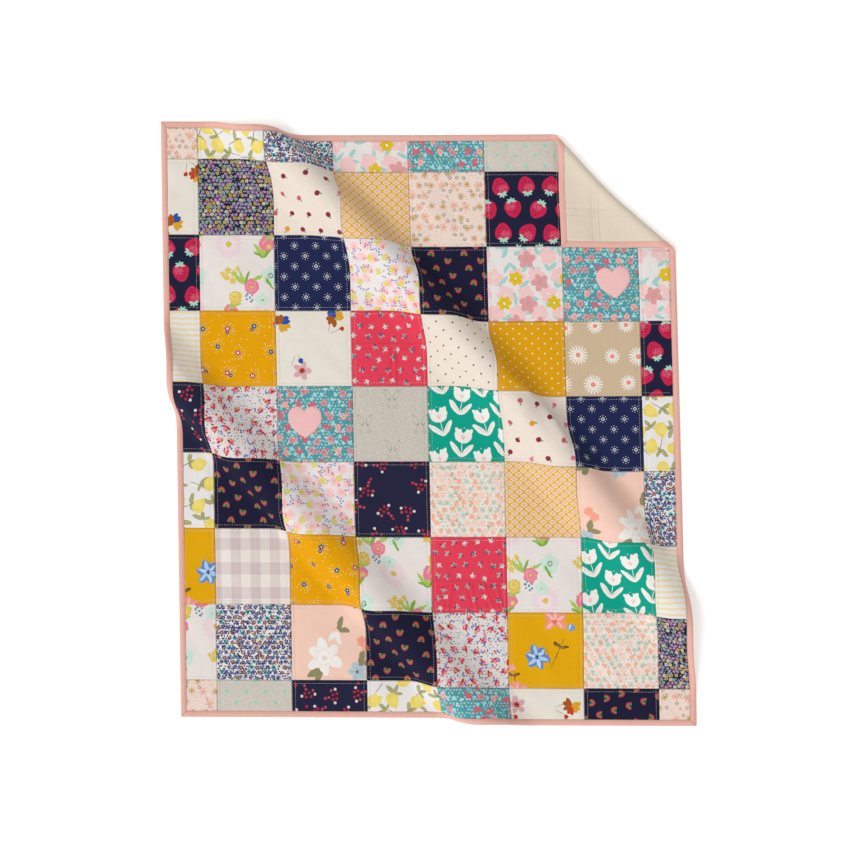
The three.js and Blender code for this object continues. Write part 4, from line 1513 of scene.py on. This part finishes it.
def hem_relief(along, inset, number):
    """The turned hem: ribs across the strip where each stitch draws it in, and soft swells."""
    crown = np.sin(np.pi * np.clip(inset / sizes().binding, 0, 1)) ** HEM_CROWN
    ribs = soft_noise(along / (sizes().stitch_pitch * HEM_RIBS["pitches"]),
                      inset / (HEM_RIBS["across"] * MM), SEEDS["hem_ribs"] + number)
    swell = soft_noise(along / (HEM_SWELLS["length"] * MM), np.full_like(along, 0.5),
                       SEEDS["hem_swells"] + number)
    relief = crown * (HEM_RIBS["height"] * ribs + HEM_SWELLS["height"] * swell)
    return (relief - HEM_TROUGH["depth"] * dip(inset, HEM_STITCH, HEM_TROUGH["width"] * MM)) * MM


def hem_height(along, inset, number):
    """Height of the binding's upper face."""
    section = np.array(BINDING_OUTER[:BINDING_UPPER_ROWS])[::-1] * MM
    return np.interp(inset, section[:, 0], section[:, 1]) + hem_relief(along, inset, number)


class QUILT_OT_binding(Operator):
    """Folded binding strips round the edge, mitred at the corners"""

    bl_idname = "quilt.binding"
    bl_label = "Binding"

    def execute(self, context):
        for number, side in enumerate(BINDING_SIDES):
            self.make_strip(side, number)
        return {"FINISHED"}

    def make_strip(self, side, number):
        run = binding_run(side)
        steps = int(2 * run / (STRIP_STEP * MM))
        mesh, share, row, upper = flat_sheet(
            f"binding_strip_{side}", np.linspace(-1, 1, steps + 1), np.arange(len(BINDING_OUTER))[::-1])
        outer, inner = np.array(BINDING_OUTER)[row] * MM, np.array(BINDING_INNER)[row] * MM
        inset = np.where(upper, outer[:, 0], inner[:, 0])
        height = np.where(upper, outer[:, 1], inner[:, 1])
        along = share * (run - inset - MITRE_SETBACK)
        u, v = binding_place(side, along, inset)
        under = height < 0
        relief = hem_relief(along, inset, number) * np.where(under, -on_flap(u, v), 1)
        height += np.where(upper, relief, 0)
        write_cloth_map(mesh, along, row * STRIP_ROW * MM)
        lay_points(mesh, u, v, height)
        strip = add_piece(mesh, plain_cotton("binding"), "binding_cotton", f"binding_{side}")


# Each heart's middle on the flat cloth in mm, its turn in degrees, and its square.
HEARTS = {
    "upper": dict(u=339, v=256, turn=6, square="square_2_6"),
    "lower": dict(u=-208, v=3, turn=0, square="square_4_2"),
}
HEART_WIDTH = 57
HEART_HEIGHT = 54
HEART_ROUNDING = (0.35, 0.9, 1.8)
# Where its middle is cut across, in mm, and the area in square mm of a face to cut.
HEART_CUTS = range(-26, 27, 4)
HEART_LARGE_FACE = 3
HEART_LIFT = 0.12 * MM
# Its face: the height of its rim and of its middle over that, and its ripples, in mm.
HEART_RIM = 0.15
HEART_CROWN = 0.5
HEART_RIPPLE = dict(height=0.16, length=6)
CURVE_POINTS = 24


def heart_half():
    """The right half of the heart's outline in mm, from its point up to the notch."""
    half, bottom, top = HEART_WIDTH / 2, -HEART_HEIGHT / 2, HEART_HEIGHT / 2
    shoulder, notch = top - half * 0.62, top - HEART_HEIGHT * 0.16
    # Two curves with their handles: up the side to the shoulder, and over it to the notch.
    curves = (
        ((0, bottom), (half * 0.43, bottom + 8), (half, shoulder - 18), (half, shoulder)),
        ((half, shoulder), (half, top + 2), (half * 0.18, top + 4), (0, notch)),
    )
    points = []
    for curve in curves:
        share = np.linspace(0, 1, CURVE_POINTS + 1)[:-1, None]
        a, b, c, d = np.array(curve)
        points.append(a * (1 - share) ** 3 + 3 * b * share * (1 - share) ** 2
                      + 3 * c * share ** 2 * (1 - share) + d * share ** 3)
    return np.concatenate(points + [np.array([[0, notch]])])


class QUILT_OT_hearts(Operator):
    """Two plain hearts sewn on the pieced top"""

    bl_idname = "quilt.hearts"
    bl_label = "Hearts"

    def execute(self, context):
        for name, heart in HEARTS.items():
            self.make_heart(name, **heart)
        return {"FINISHED"}

    def cut_heart(self, name, outline):
        """The heart's cloth, in mm about its own middle, cut into small faces."""
        bm = bmesh.new()
        bmesh.ops.create_circle(bm, cap_ends=True, segments=len(outline), radius=1)
        bm.verts.ensure_lookup_table()
        for vert, (x, y) in zip(bm.verts, outline):
            vert.co = (x, y, 0)
        inner = bm.faces[:]
        inset = 0
        for step in HEART_ROUNDING:
            bmesh.ops.inset_region(bm, faces=inner, thickness=step - inset, use_even_offset=True)
            inset = step
        # Cut the middle's large faces into small ones, which can follow the cloth under them.
        for axis in range(2):
            for place in HEART_CUTS:
                at, normal = [0, 0, 0], [0, 0, 0]
                at[axis], normal[axis] = place, 1
                large = [face for face in bm.faces if face.calc_area() > HEART_LARGE_FACE]
                edges = {edge for face in large for edge in face.edges}
                verts = {vert for face in large for vert in face.verts}
                bmesh.ops.bisect_plane(bm, geom=[*large, *edges, *verts], plane_co=at, plane_no=normal)
        bmesh.ops.triangulate(bm, faces=bm.faces[:])
        bmesh.ops.solidify(bm, geom=bm.faces[:], thickness=1.0)
        bmesh.ops.recalc_face_normals(bm, faces=bm.faces[:])
        return mesh_from(bm, f"heart_cloth_{name}")

    def make_heart(self, name, u, v, turn, square):
        half = heart_half()
        outline = np.concatenate([half, half[-2:0:-1] * (-1, 1)])
        mesh = self.cut_heart(name, outline)
        points = read_points(mesh)
        edge = outline[:, None] - points[:, :2]
        from_edge = np.clip(np.hypot(edge[..., 0], edge[..., 1]).min(axis=0) / HEART_ROUNDING[-1], 0, 1)
        x, y = turned(points[:, 0] * MM, points[:, 1] * MM, math.radians(turn))
        u, v = u * MM + x, v * MM + y
        upper = points[:, 2] > points[:, 2].mean()
        length = HEART_RIPPLE["length"] * MM
        ripple = soft_noise(u / length, v / length, SEEDS["heart"])
        crown = HEART_CROWN + HEART_RIPPLE["height"] * ripple
        rise = np.where(upper, HEART_RIM + crown * np.sqrt(1 - (1 - from_edge) ** 2), 0) * MM
        write_cloth_map(mesh, u, v)
        lay_points(mesh, u, v, top_height(u, v) + HEART_LIFT + rise)
        heart = add_piece(mesh, plain_cotton("heart"), "applique_cotton", f"heart_{name}")


# How far the stitches stand off their cloth, and how far in from the hem their lines begin.
TOP_PROUD = 0.2 * MM
BACK_PROUD = 0.05 * MM
FLAP_PROUD = 0.15 * MM
FLAP_DEPTH = 2 * MM
HEM_PROUD = 0.12 * MM
LINE_START = 2.2 * MM
STITCH_FLATNESS = 0.8


def stitch_template(along_v):
    """One stitch: a small rounded grain of thread, lying along its line."""
    s = sizes()
    bm = bmesh.new()
    bmesh.ops.create_uvsphere(bm, u_segments=5, v_segments=3, radius=0.5)
    turn = 0 if along_v else math.pi / 2
    for vert in bm.verts:
        # The sphere's poles become the stitch's two ends.
        x, y = turned(vert.co.x * s.thread, vert.co.z * s.stitch_length, turn)
        vert.co = Vector((x, y, vert.co.y * s.thread * STITCH_FLATNESS))
    bmesh.ops.recalc_face_normals(bm, faces=bm.faces[:])
    return mesh_from(bm, "stitch")


def stitched_lines(name, starts, length, along_v, pitch):
    """Lines of stitches on the flat cloth: their mesh, each line from its own start."""
    count = int(length / pitch)
    lines = bmesh.new()
    for start_u, start_v in starts:
        grain = bpy.data.objects.new("grain", stitch_template(along_v))
        bpy.context.collection.objects.link(grain)
        row = grain.modifiers.new("Stitches", "ARRAY")
        row.count = count
        row.use_relative_offset = False
        row.use_constant_offset = True
        row.constant_offset_displace = (0, pitch, 0) if along_v else (pitch, 0, 0)
        graph = bpy.context.evaluated_depsgraph_get()
        line = bpy.data.meshes.new_from_object(grain.evaluated_get(graph))
        line.transform(Matrix.Translation((start_u, start_v, 0)))
        lines.from_mesh(line)
        bpy.data.meshes.remove(line)
        template = grain.data
        bpy.data.objects.remove(grain)
        bpy.data.meshes.remove(template)
    return mesh_from(lines, name)


class QUILT_OT_stitches(Operator):
    """Quilting stitches beside every seam, through to the back, and along the binding"""

    bl_idname = "quilt.stitches"
    bl_label = "Stitches"

    def execute(self, context):
        for side in ("top", "back"):
            for run in ("columns", "rows"):
                self.sew_seams(side, run)
        for on_top in (True, False):
            for number, edge in enumerate(BINDING_SIDES):
                self.sew_hem(edge, number, on_top)
        return {"FINISHED"}

    def sew_seams(self, side, run):
        """The lines on both sides of every seam that runs one way, on one face."""
        s = sizes()
        along_v = run == "columns"
        count, half = (s.columns, half_length()) if along_v else (s.rows, half_width())
        reach = half - s.binding - LINE_START
        starts = []
        for seam in seam_places(count, half)[1:-1]:
            for inset in (-s.stitch_inset, s.stitch_inset):
                start = (seam + inset, -reach)
                starts.append(start if along_v else start[::-1])
        mesh = stitched_lines(f"stitches_{side}_{run}", starts, 2 * reach, along_v, s.stitch_pitch)
        u, v, height = read_points(mesh).T
        if side == "top":
            height = top_height(u, v) + height + TOP_PROUD
        else:
            flap = on_flap(u, v)
            height = back_height(u, v) - height - BACK_PROUD - FLAP_PROUD * flap
            height = np.maximum(height, BOTTOM - FLAP_DEPTH * flap)
        write_cloth_map(mesh, u, v)
        lay_points(mesh, u, v, height)
        add_piece(mesh, plain_cotton("thread"), "pieced_cotton" if side == "top" else "backing_cotton")

    def sew_hem(self, edge, number, on_top):
        """The line of stitches that holds the binding's hem, on one face."""
        run = binding_run(edge) - sizes().binding
        name = f"stitches_{'hem' if on_top else 'hem_back'}_{edge}"
        mesh = stitched_lines(name, [(-run, HEM_STITCH)], 2 * run, False, sizes().stitch_pitch)
        along, inset, height = read_points(mesh).T
        u, v = binding_place(edge, along, inset)
        if on_top:
            height = hem_height(along, inset, number) + height + HEM_PROUD
        else:
            # Where the quilt rests, the stitches are pressed into the cloth.
            raised = hem_relief(along, inset, number) + height + HEM_PROUD
            height = BINDING_BOTTOM * MM - raised * on_flap(u, v)
        write_cloth_map(mesh, along, inset)
        lay_points(mesh, u, v, height)
        add_piece(mesh, plain_cotton("binding"), "binding_cotton")


SENSOR_WIDTH = 36
FLOOR_REACH = 40
LIGHT_SOFTNESS = math.radians(38)
LIGHT_FROM = (-0.75, -0.42, 0.95)
SKY = (1.0, 0.995, 0.985, 1.0)


class QUILT_OT_stage(Operator):
    """Pale floor, soft studio light from the left, and a camera straight above"""

    bl_idname = "quilt.stage"
    bl_label = "Stage"

    def execute(self, context):
        scene = context.scene
        stage = scene.quilt_stage
        scene.view_settings.view_transform = "Standard"
        camera = bpy.data.objects.new("camera", bpy.data.cameras.new("camera"))
        camera.data.lens = stage.lens
        camera.data.sensor_width = SENSOR_WIDTH
        distance = stage.view_width * stage.lens / SENSOR_WIDTH
        camera.location = (stage.aim_x, stage.aim_y, distance)
        scene.collection.objects.link(camera)
        scene.camera = camera

        bm = bmesh.new()
        bmesh.ops.create_grid(bm, x_segments=8, y_segments=8, size=FLOOR_REACH)
        mesh = mesh_from(bm, "studio_floor")
        floor = bpy.data.objects.new("studio_floor", mesh)
        scene.collection.objects.link(floor)
        # Matt white paper, lit a little from below, so that shadows on it stay faint.
        paper = bpy.data.materials.new("Matt white paper")
        paper.use_nodes = True
        sockets = paper.node_tree.nodes["Principled BSDF"].inputs
        sockets["Base Color"].default_value = list(scene.quilt_colours.floor)
        sockets["Roughness"].default_value = 0.95
        sockets["Emission Color"].default_value = (1.0, 1.0, 1.0, 1.0)
        sockets["Emission Strength"].default_value = stage.glow
        mesh.materials.append(paper)

        world = bpy.data.worlds.new("Studio")
        scene.world = world
        world.use_nodes = True
        sky = world.node_tree.nodes["Background"]
        sky.inputs["Color"].default_value = SKY
        sky.inputs["Strength"].default_value = stage.fill
        sun = bpy.data.lights.new("softbox", "SUN")
        sun.energy = stage.key
        sun.angle = LIGHT_SOFTNESS
        light = bpy.data.objects.new("softbox", sun)
        light.rotation_euler = Vector(LIGHT_FROM).to_track_quat("Z", "Y").to_euler()
        scene.collection.objects.link(light)
        return {"FINISHED"}


class QUILT_PT_panel(Panel):
    """Buttons that lay out the quilt, piece by piece"""

    bl_idname = "QUILT_PT_panel"
    bl_label = "Patchwork quilt"
    bl_space_type = "VIEW_3D"
    bl_region_type = "UI"
    bl_category = "Quilt"

    def draw(self, context):
        scene = context.scene
        for settings in (scene.quilt_sizes, scene.quilt_colours, scene.quilt_stage):
            box = self.layout.box()
            for name in settings.bl_rna.properties.keys():
                if name not in ("rna_type", "name"):
                    box.prop(settings, name)
        for operator in OPERATORS:
            self.layout.operator(operator.bl_idname)


OPERATORS = (QUILT_OT_stage, QUILT_OT_backing, QUILT_OT_squares, QUILT_OT_binding, QUILT_OT_hearts,
             QUILT_OT_stitches)
CLASSES = (QuiltSizes, QuiltColours, QuiltStage) + OPERATORS + (QUILT_PT_panel,)


def register():
    for cls in CLASSES:
        bpy.utils.register_class(cls)
    bpy.types.Scene.quilt_sizes = PointerProperty(type=QuiltSizes)
    bpy.types.Scene.quilt_colours = PointerProperty(type=QuiltColours)
    bpy.types.Scene.quilt_stage = PointerProperty(type=QuiltStage)


def unregister():
    del bpy.types.Scene.quilt_stage
    del bpy.types.Scene.quilt_colours
    del bpy.types.Scene.quilt_sizes
    for cls in reversed(CLASSES):
        bpy.utils.unregister_class(cls)


def main():
    register()
    for operator in OPERATORS:
        family, name = operator.bl_idname.split(".")
        getattr(getattr(bpy.ops, family), name)()


if __name__ == "__main__":
    main()
